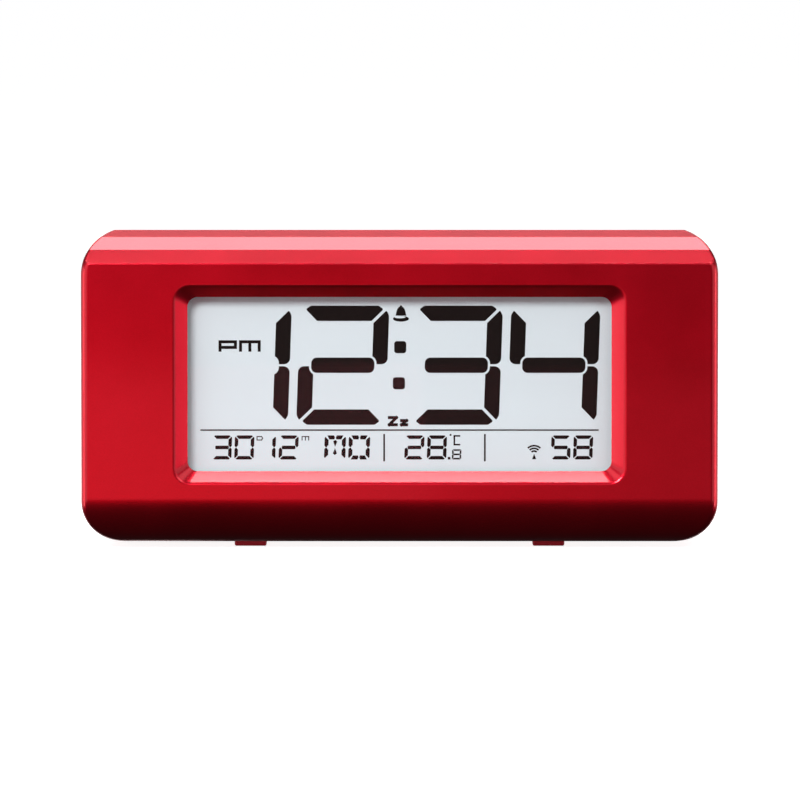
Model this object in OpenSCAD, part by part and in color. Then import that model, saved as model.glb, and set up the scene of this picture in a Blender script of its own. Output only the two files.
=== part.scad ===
// Radio-controlled alarm clock: a two-shell case round a liquid crystal display, with a snooze bar on the
// top, and keys, a slider and a battery door at the rear. Millimetres, +Z up, front face towards -Y.
// The origin lies on the table under the middle of the case.

/* [Window] */
// Width of the window at the bottom of its recess
window_w = 91.2; // [80:0.2:110]
// Height of the window at the bottom of its recess
window_h = 37.6; // [32:0.2:50]
// Depth of the recess, which is also the thickness of the front wall
window_recess = 3.2; // [2.4:0.1:4]
// Depth of the straight lip at the bottom of the recess
window_lip = 1; // [0.4:0.1:1.4]
// Width of the recess bevel at the left and right
bevel_side = 2.9; // [1.5:0.1:4]
// Width of the recess bevel at the top and bottom
bevel_level = 2.5; // [1.5:0.1:4]
// Corner radius at the bottom of the recess
window_corner_r = 2.2; // [1:0.1:4]
// Corner radius of the recess at the front face
rim_corner_r = 3.4; // [1:0.1:5]

/* [Case] */
// Face beside the recess, on each side
face_side = 20; // [17:0.5:30]
// Face above the recess, up to the crease under the brow
face_above = 4.8; // [3:0.1:10]
// Face below the recess, down to the start of the round lower edge
face_below = 3; // [2:0.1:10]
// Depth of the case from front face to rear face
case_d = 44; // [42:0.5:60]
// Radius of the corners seen from the front
corner_r = 9.4; // [7:0.2:11]
// Radius of the lower front edge
lower_r = 10.2; // [8:0.2:11]
// Radius of the rear edges
rear_r = 3; // [2.2:0.1:3.2]
// Radius of the upright front edges
edge_r = 1.7; // [1:0.1:2]
// Wall thickness of both housings
wall = 2; // [1.7:0.1:2.4]
// Depth of the front housing ahead of the parting line
bezel_d = 12; // [11.6:0.1:13]
// Length of the tongue on the front housing
tongue_l = 2; // [1:0.1:3]
// Fall of the top towards the rear in degrees
top_fall = 6; // [4:0.5:8]

/* [Brow] */
// Run of the lowest facet above the crease
low_run = 2.8; // [2:0.1:3.2]
// Rise of the lowest facet
low_rise = 2.8; // [2:0.1:4]
// Run of the middle facet
mid_run = 4.6; // [4:0.1:5]
// Rise of the middle facet
mid_rise = 2.5; // [1.8:0.1:3]
// Run of the top facet
top_run = 4; // [3.4:0.1:4.2]
// Rise of the top facet
top_rise = 1.35; // [0.8:0.05:1.6]

/* [Feet] */
// Height of each foot
foot_h = 1.25; // [1:0.05:3]
// Width of each foot
foot_w = 6.9; // [5:0.1:12]
// Length of each foot from front to rear
foot_l = 8; // [5:0.5:10]
// Distance of the feet from the middle of the case
foot_x = 32.2; // [20:0.1:50]
// Step from the parting line to the front feet, and from the rear edge radius to the rear feet
foot_inset = 0.6; // [0.5:0.1:3]

/* [Display] */
// Thickness of the adhesive ring in front of the lens
tape_t = 0.15; // [0.1:0.05:0.3]
// Width of the adhesive ring and of the foam gasket
seat_w = 1.6; // [1:0.1:2.2]
// Thickness of the clear lens
lens_t = 1.5; // [1:0.1:2]
// Thickness of the foam gasket between lens and display
gasket_t = 1; // [0.6:0.1:1.5]
// Thickness of each polariser
polariser_t = 0.2; // [0.1:0.05:0.3]
// Thickness of each display glass
glass_t = 1.1; // [0.7:0.1:1.4]
// Thickness of the segment layer between the glasses
cell_t = 0.1; // [0.05:0.05:0.2]
// Thickness of the light guide
guide_t = 3; // [2:0.1:4]
// Glass beyond the window on every side
glass_margin = 2.6; // [2.4:0.1:4]
// Height of the contact ledge below the rear glass
ledge_h = 4; // [3.8:0.1:5]
// Height of the conductive strip
strip_h = 2; // [1.5:0.1:2.4]
// Wall of the display holder
holder_wall = 2; // [1.2:0.1:2.4]

/* [Digits] */
// Height of the time digits
digit_h = 25.7; // [20:0.1:28]
// Width of the time digits
digit_w = 19.2; // [14:0.1:20]
// Stroke of the time digits
digit_t = 3.3; // [2:0.1:4]
// Height of the small digits
small_h = 5.2; // [4:0.1:6]
// Width of the small digits
small_w = 4.2; // [3:0.1:5]
// Stroke of the small digits
small_t = 0.75; // [0.4:0.05:0.9]
// Lean of all digits in degrees
digit_lean = 2; // [0:0.5:6]

/* [Boards] */
// Thickness of the circuit boards
board_t = 1.2; // [0.8:0.1:1.6]
// Diameter of the screws that hold the boards
small_screw_d = 2; // [1.6:0.1:2.4]
// Diameter of the housing screws
case_screw_d = 2.6; // [2.2:0.1:3]
// Radius of the posts for the board screws
boss_r = 2.5; // [2.3:0.1:2.8]
// Radius of the posts for the housing screws
post_r = 4.2; // [4:0.1:4.6]

/* [Antenna] */
// Diameter of the ferrite rod
rod_d = 8; // [6:0.5:9]
// Length of the ferrite rod
rod_l = 60; // [40:1:80]
// Outer diameter of the antenna coil
coil_d = 10; // [9.4:0.1:11]
// Length of the antenna coil
coil_l = 18; // [10:1:30]

/* [Sounder] */
// Diameter of the brass disc
piezo_d = 20; // [15:0.5:22]
// Diameter of the ceramic on the disc
ceramic_d = 14; // [9:0.5:14]
// Distance of the sounder, and of the vents on the other side, from the middle of the case
side_x = 45; // [43:0.5:46]

/* [Batteries] */
// Diameter of one AAA cell
cell_d = 10.5; // [9.5:0.1:11]
// Length of one AAA cell
cell_l = 44.5; // [40:0.1:46]
// Room for the contacts at each end of the cells
contact_room = 4; // [3:0.1:5]
// Thickness of the contact plates
contact_t = 0.4; // [0.3:0.05:0.6]
// Wall of the battery bay
bay_wall = 2; // [1.6:0.1:2.4]
// Thickness of the battery door
door_t = 1.9; // [1.5:0.1:2]
// Overlap of the door onto the rim of the bay
door_lap = 1.3; // [1:0.1:1.5]

/* [Keys] */
// Width of one rear key
key_w = 9; // [7:0.1:10]
// Height of one rear key
key_h = 6; // [4.6:0.1:8]
// Corner radius of the keys
key_r = 2.4; // [1:0.1:2.5]
// Distance between the rear keys
key_pitch = 14; // [13:0.1:14.5]
// Height of the key row above the battery bay
key_rise = 17; // [14:0.5:18]
// Travel of the rear keys
key_travel = 0.8; // [0.3:0.1:0.9]
// Depth of the recess that the keys stand in
panel_recess = 0.8; // [0.4:0.1:1]
// Travel of the alarm slider
slider_travel = 4; // [2:0.1:5]
// Width of the alarm slider's knob
slider_w = 5; // [3:0.1:6]

/* [Snooze bar] */
// Width of the snooze bar
snooze_w = 80; // [50:1:90]
// Depth of the snooze bar from front to rear
snooze_d = 13; // [10:0.5:16]
// Height of the bar above the top of the case
snooze_proud = 0.2; // [0:0.05:0.6]
// Travel of the snooze bar
snooze_travel = 1; // [0.4:0.1:1.1]

/* [Hidden] */
$fn = 48;
eps = 0.02;
// Clearances: sliding pieces, parts dropped into a pocket, faces that almost touch
slide_gap = 0.3;
pocket_gap = 0.2;
seat_gap = 0.05;

// Case levels, from the table upwards and from the front to the rear
case_w = window_w + 2 * (bevel_side + face_side);
floor_z = foot_h;
fold_z = floor_z + lower_r;
window_low = fold_z + face_below + bevel_level;
window_z = window_low + window_h / 2;
window_top = window_low + window_h;
crease_z = window_top + bevel_level + face_above;
crest_z = crease_z + low_rise + mid_rise + top_rise;
front_y = -case_d / 2;
rear_y = case_d / 2;
crest_y = front_y + low_run + mid_run + top_run;
split_y = front_y + bezel_d;
inner_rear_y = rear_y - wall;
inner_floor_z = floor_z + wall;
// The upper outline stands this much above the crest so that only the side outline makes the top
crown = 0.3;

// Height of the top surface at a depth y behind the crest
function top_z(y) = crest_z - (y - crest_y) * tan(top_fall);

side_points = [
    [front_y, floor_z],
    [rear_y, floor_z],
    [rear_y, top_z(rear_y)],
    [crest_y, crest_z],
    [crest_y - top_run, crest_z - top_rise],
    [front_y + low_run, crease_z + low_rise],
    [front_y, crease_z]
];
side_radii = [lower_r, rear_r, rear_r, 0, 0, 0, 0];
// Outlines seen from the front, one for the lower corners and one for the upper
function as_wide_as_case(low, high) =
    [[-case_w / 2, low], [case_w / 2, low], [case_w / 2, high], [-case_w / 2, high]];
lower_points = as_wide_as_case(floor_z, crest_z + corner_r);
lower_radii = [corner_r, corner_r, 0, 0];
upper_points = as_wide_as_case(floor_z - corner_r, crest_z + crown);
upper_radii = [0, 0, corner_r, corner_r];
// Outline seen from above
plan_points = as_wide_as_case(front_y, rear_y);
plan_radii = [edge_r, edge_r, rear_r, rear_r];

// Layers of the display, each level counted from the one in front of it
tape_y = front_y + window_recess;
lens_y = tape_y + tape_t;
gasket_y = lens_y + lens_t;
front_polariser_y = gasket_y + gasket_t;
front_glass_y = front_polariser_y + polariser_t;
cell_y = front_glass_y + glass_t;
rear_glass_y = cell_y + cell_t;
rear_polariser_y = rear_glass_y + glass_t;
guide_y = rear_polariser_y + polariser_t;
board_y = guide_y + guide_t;
board_back = board_y + board_t;
glass_w = window_w + 2 * glass_margin;
glass_low = window_low - glass_margin;
glass_top = window_top + glass_margin;
ledge_low = glass_low - ledge_h;
holder_w = glass_w + 2 * (holder_wall + pocket_gap);
holder_low = ledge_low - holder_wall - pocket_gap;
holder_top = glass_top + holder_wall + pocket_gap;
lamp_t = 1.2;
guide_w = glass_w - 2 * (lamp_t + pocket_gap);
strip_w = window_w - 2;
strip_low = ledge_low + (ledge_h - strip_h) / 2;
small_gap = 0.14;

// Posts, boards and screws
post_bite = 0.8;
post_x = case_w / 2 - wall - post_r + post_bite;
post_low_z = floor_z + corner_r + 2;
post_high_z = crest_z - corner_r - 2;
front_boss_r = 3.1;
head_r = case_screw_d * 0.95;
head_t = case_screw_d * 0.75;
head_seat_y = split_y + 6;
case_screw_l = 10;
small_head_r = small_screw_d;
small_head_t = small_screw_d * 0.6;
small_screw_l = 5;
pilot_gap = 0.05;
board_w = 2 * (post_x - post_r - 1);
board_low = holder_low - 0.6;
board_top = holder_top + 0.6;
boss_x = holder_w / 2 + boss_r + 0.6;
boss_dz = window_h / 2 - 2;

// Battery bay, counted from the floor and from the rear face
cell_gap = 0.4;
cell_pitch = cell_d + 0.7;
door_y = rear_y - door_t;
bay_rim_y = door_y - seat_gap;
cell_axis_y = bay_rim_y - cell_gap - cell_d / 2;
bay_front_y = cell_axis_y - cell_d / 2 - cell_gap;
bay_w = cell_l + 2 * contact_room;
bay_low = floor_z + rear_r + door_lap + 0.2;
lower_cell_z = bay_low + cell_gap + cell_d / 2;
upper_cell_z = lower_cell_z + cell_pitch;
bay_top = upper_cell_z + cell_d / 2 + cell_gap;
door_w = bay_w + 2 * door_lap;
door_low = bay_low - door_lap;
door_top = bay_top + door_lap;
door_gap = 0.2;
hinge_y = rear_y - door_t / 2;
hinge_z = door_low + door_t / 2;
hinge_pin_r = 0.55;
hinge_pin_l = 1;
hinge_gap = 0.1;
lead_d = 1.2;
tail_w = 1.6;
tail_end_y = bay_front_y - bay_wall - 1.6;
tail_x = bay_w / 2 - contact_t / 2;
lower_tail_z = inner_floor_z + 1.2 + rod_d + 2.4;

// Rear keys, their switches and their board
key_z = bay_top + key_rise;
key_count = 5;
key_first_x = -36;
slider_x = key_first_x + key_count * key_pitch + 4;
key_lip = 1;
flange_t = 1;
switch_w = 6;
switch_h = 3.4;
plunger_r = 1.7;
plunger_proud = 1;
stem_r = 2;
stem_l = 2.4;
key_flange_y = inner_rear_y - seat_gap - 0.1 - flange_t;
key_stem_y = key_flange_y - stem_l;
key_switch_y = key_stem_y - plunger_proud - switch_h;
key_board_y = key_switch_y - board_t;
key_face_y = rear_y - 0.1;
key_post_room = 3;
key_post_x = slider_x + slider_w / 2 + slider_travel / 2 + key_lip + boss_r + key_post_room;
panel_border = 2.5;
panel_w = 2 * (key_post_x - boss_r - 1);
panel_h = key_h + 2 * panel_border;
board_border = 3.5;
key_board_w = 2 * (key_post_x + boss_r + 0.5);
key_board_h = switch_w + 2 * board_border;
lever_w = 2;
slider_h = 4;

// Snooze bar, its switch and its board
snooze_lip = 1.2;
snooze_setback = 2.3;
snooze_y = split_y + tongue_l + snooze_setback + snooze_lip + snooze_d / 2;
snooze_corner_r = 3;
snooze_boss_x = snooze_w / 2 + snooze_lip + boss_r + 2;
snooze_flange_low = top_z(snooze_y + snooze_d / 2 + snooze_lip) - (wall + 1.4) / cos(top_fall);
snooze_stem_z = snooze_flange_low - stem_l;
snooze_board_top = snooze_stem_z - plunger_proud - switch_h;
snooze_board_z = snooze_board_top - board_t;
snooze_board_d = 9;
ribbon_t = 0.6;

// Antenna between the main board and the battery bay
rod_y = (board_back + bay_front_y - bay_wall) / 2;
rod_z = inner_floor_z + 1.2 + rod_d / 2;
cradle_t = 2;
cradle_x = (rod_l / 2 + coil_l / 2) / 2;

// Sounder on the rear wall
piezo_t = 0.2;
piezo_z = bay_low + cell_pitch;
ring_t = 1.2;
ring_h = 1.4;
piezo_y = inner_rear_y - ring_h - piezo_t;

red = [0.72, 0.07, 0.11];
dark_red = [0.45, 0.05, 0.08];
ink = [0.13, 0.11, 0.09];
steel = [0.75, 0.76, 0.78];
board_green = [0.10, 0.38, 0.22];
black = [0.09, 0.09, 0.10];
key_red = [0.55, 0.06, 0.09];
copper = [0.72, 0.42, 0.22];

// Unit vector from one point to another
function unit(from, to) = (to - from) / norm(to - from);
// Neighbours of corner k in a closed ring of points
function before(ring, k) = ring[(k + len(ring) - 1) % len(ring)];
function after(ring, k) = ring[(k + 1) % len(ring)];
// Half of the inside angle at corner k
function half_angle(ring, k) =
    acos(unit(ring[k], before(ring, k)) * unit(ring[k], after(ring, k))) / 2;
// Point at distance d from both edges that meet at corner k
function inside_corner(ring, k, d) =
    let (bisector = unit(ring[k], before(ring, k)) + unit(ring[k], after(ring, k)))
    ring[k] + bisector / norm(bisector) * d / sin(half_angle(ring, k));
// A convex ring moved inwards by d, and its corner radii
function inset_ring(ring, d) = [for (k = [0:len(ring) - 1]) inside_corner(ring, k, d)];
function inset_radii(radii, d) = [for (r = radii) max(r - d, 0)];
// Points where each rounding starts and ends
function cut_points(ring, radii) = [
    for (k = [0:len(ring) - 1])
        let (cut = radii[k] / tan(half_angle(ring, k)))
        each radii[k] == 0 ? [ring[k]] : [
            ring[k] + unit(ring[k], before(ring, k)) * cut,
            ring[k] + unit(ring[k], after(ring, k)) * cut
        ]
];

// Convex outline with a radius for each corner
module rounded(ring, radii) {
    polygon(cut_points(ring, radii));
    for (k = [0:len(ring) - 1])
        if (radii[k] > 0)
            translate(inside_corner(ring, k, radii[k]))
                circle(r = radii[k]);
}

// Rounded rectangle round the origin
module plate(w, h, r) {
    rounded([[-w / 2, -h / 2], [w / 2, -h / 2], [w / 2, h / 2], [-w / 2, h / 2]], [r, r, r, r]);
}

// Outlines drawn in Y and Z run along X, and outlines drawn in X and Z run along Y
module along_x(x0, x1) {
    translate([x0, 0, 0])
        rotate([90, 0, 90])
            linear_extrude(x1 - x0)
                children();
}

module along_y(y0, y1) {
    translate([0, y1, 0])
        rotate([90, 0, 0])
            linear_extrude(y1 - y0)
                children();
}

module box(low, high) {
    translate(low)
        cube(high - low);
}

// Box centred on x, between two depths and two heights
module slab(x, w, y0, y1, z0, z1) {
    box([x - w / 2, y0, z0], [x + w / 2, y1, z1]);
}

module pin_x(y, z, x0, x1, r) {
    translate([x0, y, z])
        rotate([0, 90, 0])
            cylinder(h = x1 - x0, r = r);
}

module pin_y(x, z, y0, y1, r) {
    translate([x, y1, z])
        rotate([90, 0, 0])
            cylinder(h = y1 - y0, r = r);
}

module pin_z(x, y, z0, z1, r) {
    translate([x, y, z0])
        cylinder(h = z1 - z0, r = r);
}

// The outer form of the case between two depths, moved inwards by d. Its upper corners run level, or fall
// towards the rear from the crest.
module case_block(d, y0, y1, fall) {
    intersection() {
        along_x(-case_w / 2 - 1, case_w / 2 + 1)
            rounded(inset_ring(side_points, d), inset_radii(side_radii, d));
        along_y(y0, y1)
            rounded(inset_ring(lower_points, d), inset_radii(lower_radii, d));
        linear_extrude(2 * crest_z)
            rounded(inset_ring(plan_points, d), inset_radii(plan_radii, d));
        translate([0, crest_y, crest_z])
            rotate([-fall, 0, 0])
                translate([0, -crest_y, -crest_z])
                    along_y(front_y - case_d, rear_y + case_d)
                        rounded(inset_ring(upper_points, d), inset_radii(upper_radii, d));
    }
}

// Shell ring behind the parting line between two insets
module case_ring(outer, inner, y0, y1) {
    difference() {
        case_block(outer, y0, y1, top_fall);
        case_block(inner, y0 - 1, y1 + 1, top_fall);
    }
}

// Places of the housing screws and of the main board's screws
module at_posts() {
    for (x = [-post_x, post_x], z = [post_low_z, post_high_z])
        translate([x, 0, z])
            children();
}

module at_bosses() {
    for (x = [-boss_x, boss_x], z = [window_z - boss_dz, window_z + boss_dz])
        translate([x, 0, z])
            children();
}

// Bevelled recess of the window, wider at the face, down to a straight lip
module window_cut() {
    hull() {
        along_y(front_y - eps, front_y)
            translate([0, window_z])
                plate(window_w + 2 * bevel_side, window_h + 2 * bevel_level, rim_corner_r, $fn = 32);
        along_y(tape_y - window_lip, tape_y - window_lip + eps)
            translate([0, window_z])
                plate(window_w, window_h, window_corner_r, $fn = 32);
    }
    along_y(tape_y - window_lip, tape_y + eps)
        translate([0, window_z])
            plate(window_w, window_h, window_corner_r, $fn = 32);
}

module front_housing() {
    color(red)
        difference() {
            union() {
                difference() {
                    case_block(0, front_y - 1, split_y, 0);
                    case_block(wall, tape_y, split_y + 1, 0);
                }
                case_ring(wall / 2 + pocket_gap, wall, split_y - eps, split_y + tongue_l);
                at_posts()
                    pin_y(0, 0, tape_y - 1, split_y, front_boss_r);
                at_bosses()
                    pin_y(0, 0, tape_y - 1, board_y, boss_r);
            }
            window_cut();
            at_posts()
                pin_y(0, 0, head_seat_y - case_screw_l - 0.5, split_y + 1, case_screw_d / 2 + pilot_gap);
            at_bosses()
                pin_y(0, 0, board_y - small_screw_l + board_t, board_y + 1, small_screw_d / 2 + pilot_gap);
        }
}

// Hollow of the battery bay and the seat of its door
module bay_cut() {
    slab(0, bay_w, bay_front_y, rear_y + 1, bay_low, bay_top);
    slab(0, door_w + 2 * door_gap, bay_rim_y, rear_y + 1, door_low - door_gap, door_top + door_gap);
    hinge_reach = door_w / 2 + hinge_pin_l + hinge_gap;
    pin_x(hinge_y, hinge_z, -hinge_reach, hinge_reach, hinge_pin_r + hinge_gap);
    for (z = [lower_tail_z, upper_cell_z])
        slab(tail_x, contact_t + 2 * pocket_gap, bay_front_y - bay_wall - 1, bay_front_y + 1,
            z - tail_w / 2 - pocket_gap, z + tail_w / 2 + pocket_gap);
}

// Openings for the keys and the slider
module key_cuts() {
    along_y(rear_y - panel_recess, rear_y + 1)
        translate([0, key_z])
            plate(panel_w, panel_h, key_r);
    for (k = [0:key_count - 1])
        along_y(inner_rear_y - 1, rear_y + 1)
            translate([key_first_x + k * key_pitch, key_z])
                plate(key_w + 2 * slide_gap, key_h + 2 * slide_gap, key_r + slide_gap);
    slab(slider_x, slider_w + slider_travel + 2 * slide_gap, inner_rear_y - 1, rear_y + 1,
        key_z - slider_h / 2 - slide_gap, key_z + slider_h / 2 + slide_gap);
}

// Sound holes on one side and vent slots on the other
module rear_vents() {
    hole_r = 0.8;
    hole_ring_r = 5;
    slot_w = 14;
    slot_h = 1.2;
    slot_pitch = 3;
    for (k = [0:5])
        pin_y(side_x + hole_ring_r * cos(60 * k), piezo_z + hole_ring_r * sin(60 * k),
            inner_rear_y - 1, rear_y + 1, hole_r);
    pin_y(side_x, piezo_z, inner_rear_y - 1, rear_y + 1, hole_r);
    for (k = [-2:2])
        slab(-side_x, slot_w, inner_rear_y - 1, rear_y + 1,
            piezo_z + slot_pitch * k - slot_h / 2, piezo_z + slot_pitch * k + slot_h / 2);
}

// Two saddles that carry the ferrite rod
module antenna_cradle() {
    for (x = [-cradle_x, cradle_x])
        difference() {
            slab(x, cradle_t, rod_y - rod_d / 2 - 1, rod_y + rod_d / 2 + 1, floor_z + wall / 2, rod_z);
            pin_x(rod_y, rod_z, x - cradle_t, x + cradle_t, rod_d / 2 + seat_gap);
        }
}

module rear_housing() {
    color(red)
        difference() {
            union() {
                case_ring_open_front();
                slab(0, bay_w + 2 * bay_wall, bay_front_y - bay_wall, rear_y - wall / 2,
                    floor_z + wall / 2, bay_top + bay_wall);
                at_posts()
                    pin_y(0, 0, split_y, rear_y - wall / 2, post_r);
                for (x = [-snooze_boss_x, snooze_boss_x])
                    pin_z(x, snooze_y, snooze_board_top, top_z(snooze_y) - wall / 2, boss_r);
                for (x = [-key_post_x, key_post_x])
                    pin_y(x, key_z, key_switch_y, rear_y - wall / 2, boss_r);
                pin_y(side_x, piezo_z, inner_rear_y - ring_h, rear_y - wall / 2, piezo_d / 2 + ring_t);
                antenna_cradle();
            }
            case_ring(wall / 2, wall + pocket_gap, split_y - 1, split_y + tongue_l + pocket_gap);
            bay_cut();
            key_cuts();
            rear_vents();
            pin_y(side_x, piezo_z, inner_rear_y - ring_h - 1, inner_rear_y, piezo_d / 2 - ring_t);
            at_posts() {
                pin_y(0, 0, head_seat_y, rear_y + 1, head_r + slide_gap);
                pin_y(0, 0, split_y - 1, head_seat_y + 1, case_screw_d / 2 + pocket_gap);
            }
            translate([0, snooze_y, snooze_stem_z])
                linear_extrude(crest_z - snooze_stem_z)
                    plate(snooze_w + 2 * slide_gap, snooze_d + 2 * slide_gap, snooze_corner_r + slide_gap);
            for (x = [-snooze_boss_x, snooze_boss_x])
                pin_z(x, snooze_y, snooze_board_top - 1, snooze_board_top + small_screw_l - board_t + 0.5,
                    small_screw_d / 2 + pilot_gap);
            for (x = [-key_post_x, key_post_x])
                pin_y(x, key_z, key_switch_y - 1, key_switch_y + small_screw_l - board_t + 0.5,
                    small_screw_d / 2 + pilot_gap);
        }
}

// Shell of the rear housing, open towards the front
module case_ring_open_front() {
    difference() {
        case_block(0, split_y, rear_y + 1, top_fall);
        case_block(wall, split_y - 1, rear_y + 1, top_fall);
    }
}

// Screw along Y with its head towards the rear and a cross slot; the head's underside lies at y = 0
module screw(d, head_radius, head_height, length) {
    difference() {
        union() {
            pin_y(0, 0, 0, head_height, head_radius);
            pin_y(0, 0, -length, eps, d / 2);
        }
        for (turn = [0, 90])
            rotate([0, turn, 0])
                slab(0, head_radius * 1.3, head_height / 2, head_height + 1, -d / 10, d / 10);
    }
}

module housing_screws() {
    color(steel)
        at_posts()
            translate([0, head_seat_y, 0])
                screw(case_screw_d, head_r, head_t, case_screw_l);
}

module feet() {
    color(dark_red)
        for (x = [-foot_x, foot_x], y = [split_y + foot_inset, rear_y - rear_r - foot_inset - foot_l])
            slab(x, foot_w, y, y + foot_l, 0, foot_h);
}

// Flat frame round the window
module window_frame(outside, inside, y0, y1) {
    along_y(y0, y1)
        translate([0, window_z])
            difference() {
                square([window_w + 2 * outside, window_h + 2 * outside], center = true);
                square([window_w + 2 * inside, window_h + 2 * inside], center = true);
            }
}

// Plain pane that covers the window with a margin
module pane(margin, y0, y1) {
    slab(0, window_w + 2 * margin, y0, y1, window_low - margin, window_top + margin);
}

module lens_tape() {
    color(black)
        window_frame(seat_w + 0.3, 0.3, tape_y, lens_y);
}

module window_lens() {
    color([0.85, 0.92, 0.95, 0.35])
        pane(seat_w + 0.6, lens_y, gasket_y);
}

module display_gasket() {
    color(black)
        window_frame(seat_w + 0.3, 0.3, gasket_y, front_polariser_y);
}

module lcd_front_polariser() {
    color([0.8, 0.83, 0.84, 0.4])
        pane(seat_w + 0.3, front_polariser_y, front_glass_y);
}

module lcd_front_glass() {
    color([0.8, 0.9, 0.9, 0.4])
        slab(0, glass_w, front_glass_y, cell_y, ledge_low, glass_top);
}

module lcd_rear_glass() {
    color([0.8, 0.9, 0.9, 0.4])
        slab(0, glass_w, rear_glass_y, rear_polariser_y, glass_low, glass_top);
}

module lcd_seal() {
    color([0.3, 0.3, 0.28])
        window_frame(glass_margin, glass_margin - 0.8, cell_y, rear_glass_y);
}

module lcd_rear_polariser() {
    color([0.86, 0.89, 0.90])
        pane(seat_w + 0.3, rear_polariser_y, guide_y);
}

module light_guide() {
    color([0.92, 0.94, 0.95])
        slab(0, guide_w, guide_y, board_y, glass_low, glass_top);
}

module backlight_leds() {
    lamp_h = 3.2;
    lamp_inset = 0.4;
    color([0.95, 0.93, 0.8])
        for (side = [-1, 1])
            slab(side * (guide_w + lamp_t + pocket_gap) / 2, lamp_t, guide_y + lamp_inset, board_y,
                window_z - lamp_h / 2, window_z + lamp_h / 2);
}

module lcd_holder() {
    pocket_w = glass_w + 2 * pocket_gap;
    color([0.93, 0.93, 0.91])
        difference() {
            slab(0, holder_w, front_glass_y, board_y, holder_low, holder_top);
            slab(0, pocket_w, front_glass_y - 1, cell_y, ledge_low - pocket_gap, glass_top + pocket_gap);
            slab(0, pocket_w, cell_y - 1, board_y + 1, glass_low - pocket_gap, glass_top + pocket_gap);
            slab(0, strip_w + 2 * pocket_gap, cell_y - 1, board_y + 1,
                strip_low - pocket_gap, strip_low + strip_h + pocket_gap);
        }
}

module zebra_strip() {
    color([0.35, 0.35, 0.4])
        slab(0, strip_w, cell_y, board_y, strip_low, strip_low + strip_h);
}

// Seven-stroke digits: the strokes of one cell, in a cell w wide and h high with stroke t.
// The bars have mitred ends with nipped tips, and the posts end in a blunt point beside the middle bar.
function top_bar(w, h, t, gap) = [
    [t + gap, h - t], [w - t - gap, h - t], [w - 0.23 * t - gap, h - 0.23 * t], [w - 0.57 * t - gap, h],
    [0.57 * t + gap, h], [0.23 * t + gap, h - 0.23 * t]
];
function right_post(w, h, t, gap) = [
    [w - t, h - t - gap], [w - t, h / 2 + 0.55 * t], [w - 0.72 * t, h / 2 + 0.42 * t],
    [w - 0.66 * t, h / 2 + gap / 2], [w - 0.3 * t, h / 2 + gap / 2], [w, h / 2 + 0.48 * t],
    [w, h - 0.7 * t], [w - 0.18 * t, h - 0.18 * t - gap]
];
function middle_bar(w, h, t) = [
    [0.85 * t, h / 2 - 0.3 * t], [t, h / 2 - t / 2], [w - t, h / 2 - t / 2], [w - 0.85 * t, h / 2 - 0.3 * t],
    [w - 0.85 * t, h / 2 + 0.3 * t], [w - t, h / 2 + t / 2], [t, h / 2 + t / 2], [0.85 * t, h / 2 + 0.3 * t]
];
function flip_x(points, w) = [for (p = points) [w - p.x, p.y]];
function flip_z(points, h) = [for (p = points) [p.x, h - p.y]];
function lean(points, h) = [for (p = points) [p.x + (p.y - h / 2) * tan(digit_lean), p.y]];

// Strokes lit for each figure: top, upper right, lower right, bottom, lower left, upper left, middle
LIT = [
    [1, 1, 1, 1, 1, 1, 0], [0, 1, 1, 0, 0, 0, 0], [1, 1, 0, 1, 1, 0, 1], [1, 1, 1, 1, 0, 0, 1],
    [0, 1, 1, 0, 0, 1, 1], [1, 0, 1, 1, 0, 1, 1], [1, 0, 1, 1, 1, 1, 1], [1, 1, 1, 0, 0, 0, 0],
    [1, 1, 1, 1, 1, 1, 1], [1, 1, 1, 1, 0, 1, 1]
];

module digit(figure, w, h, t, gap) {
    bar = top_bar(w, h, t, gap);
    post = right_post(w, h, t, gap);
    strokes = [
        bar, post, flip_z(post, h), flip_z(bar, h), flip_z(flip_x(post, w), h), flip_x(post, w),
        middle_bar(w, h, t)
    ];
    for (k = [0:6])
        if (LIT[figure][k] == 1)
            polygon(lean(strokes[k], h));
}

// The strokes of the large digits have round corners, and the posts are cut back round the middle bar
function soft_post(w, h, t, gap) = [
    [w - t, h / 2 + gap / 2], [w, h / 2 + gap / 2], [w, h - 0.62 * t], [w - 0.18 * t, h - 0.18 * t - gap],
    [w - t, h - t - gap]
];
function soft_middle(w, h, t, gap) =
    let (x = 0.85 * t - gap, z = h / 2 - t / 2 - gap)
    [[x, z], [w - x, z], [w - x, h - z], [x, h - z]];

// A ring with each corner that has a radius turned into short straight steps
function corner_steps(ring, k, r) =
    let (
        centre = inside_corner(ring, k, r),
        cut = r / tan(half_angle(ring, k)),
        start = ring[k] + unit(ring[k], before(ring, k)) * cut - centre,
        end = ring[k] + unit(ring[k], after(ring, k)) * cut - centre,
        first = atan2(start.y, start.x),
        sweep = atan2(start.x * end.y - start.y * end.x, start * end)
    )
    [for (i = [0:6]) centre + r * [cos(first + sweep * i / 6), sin(first + sweep * i / 6)]];
function stepped(ring, radii) =
    [for (k = [0:len(ring) - 1]) each radii[k] == 0 ? [ring[k]] : corner_steps(ring, k, radii[k])];

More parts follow.
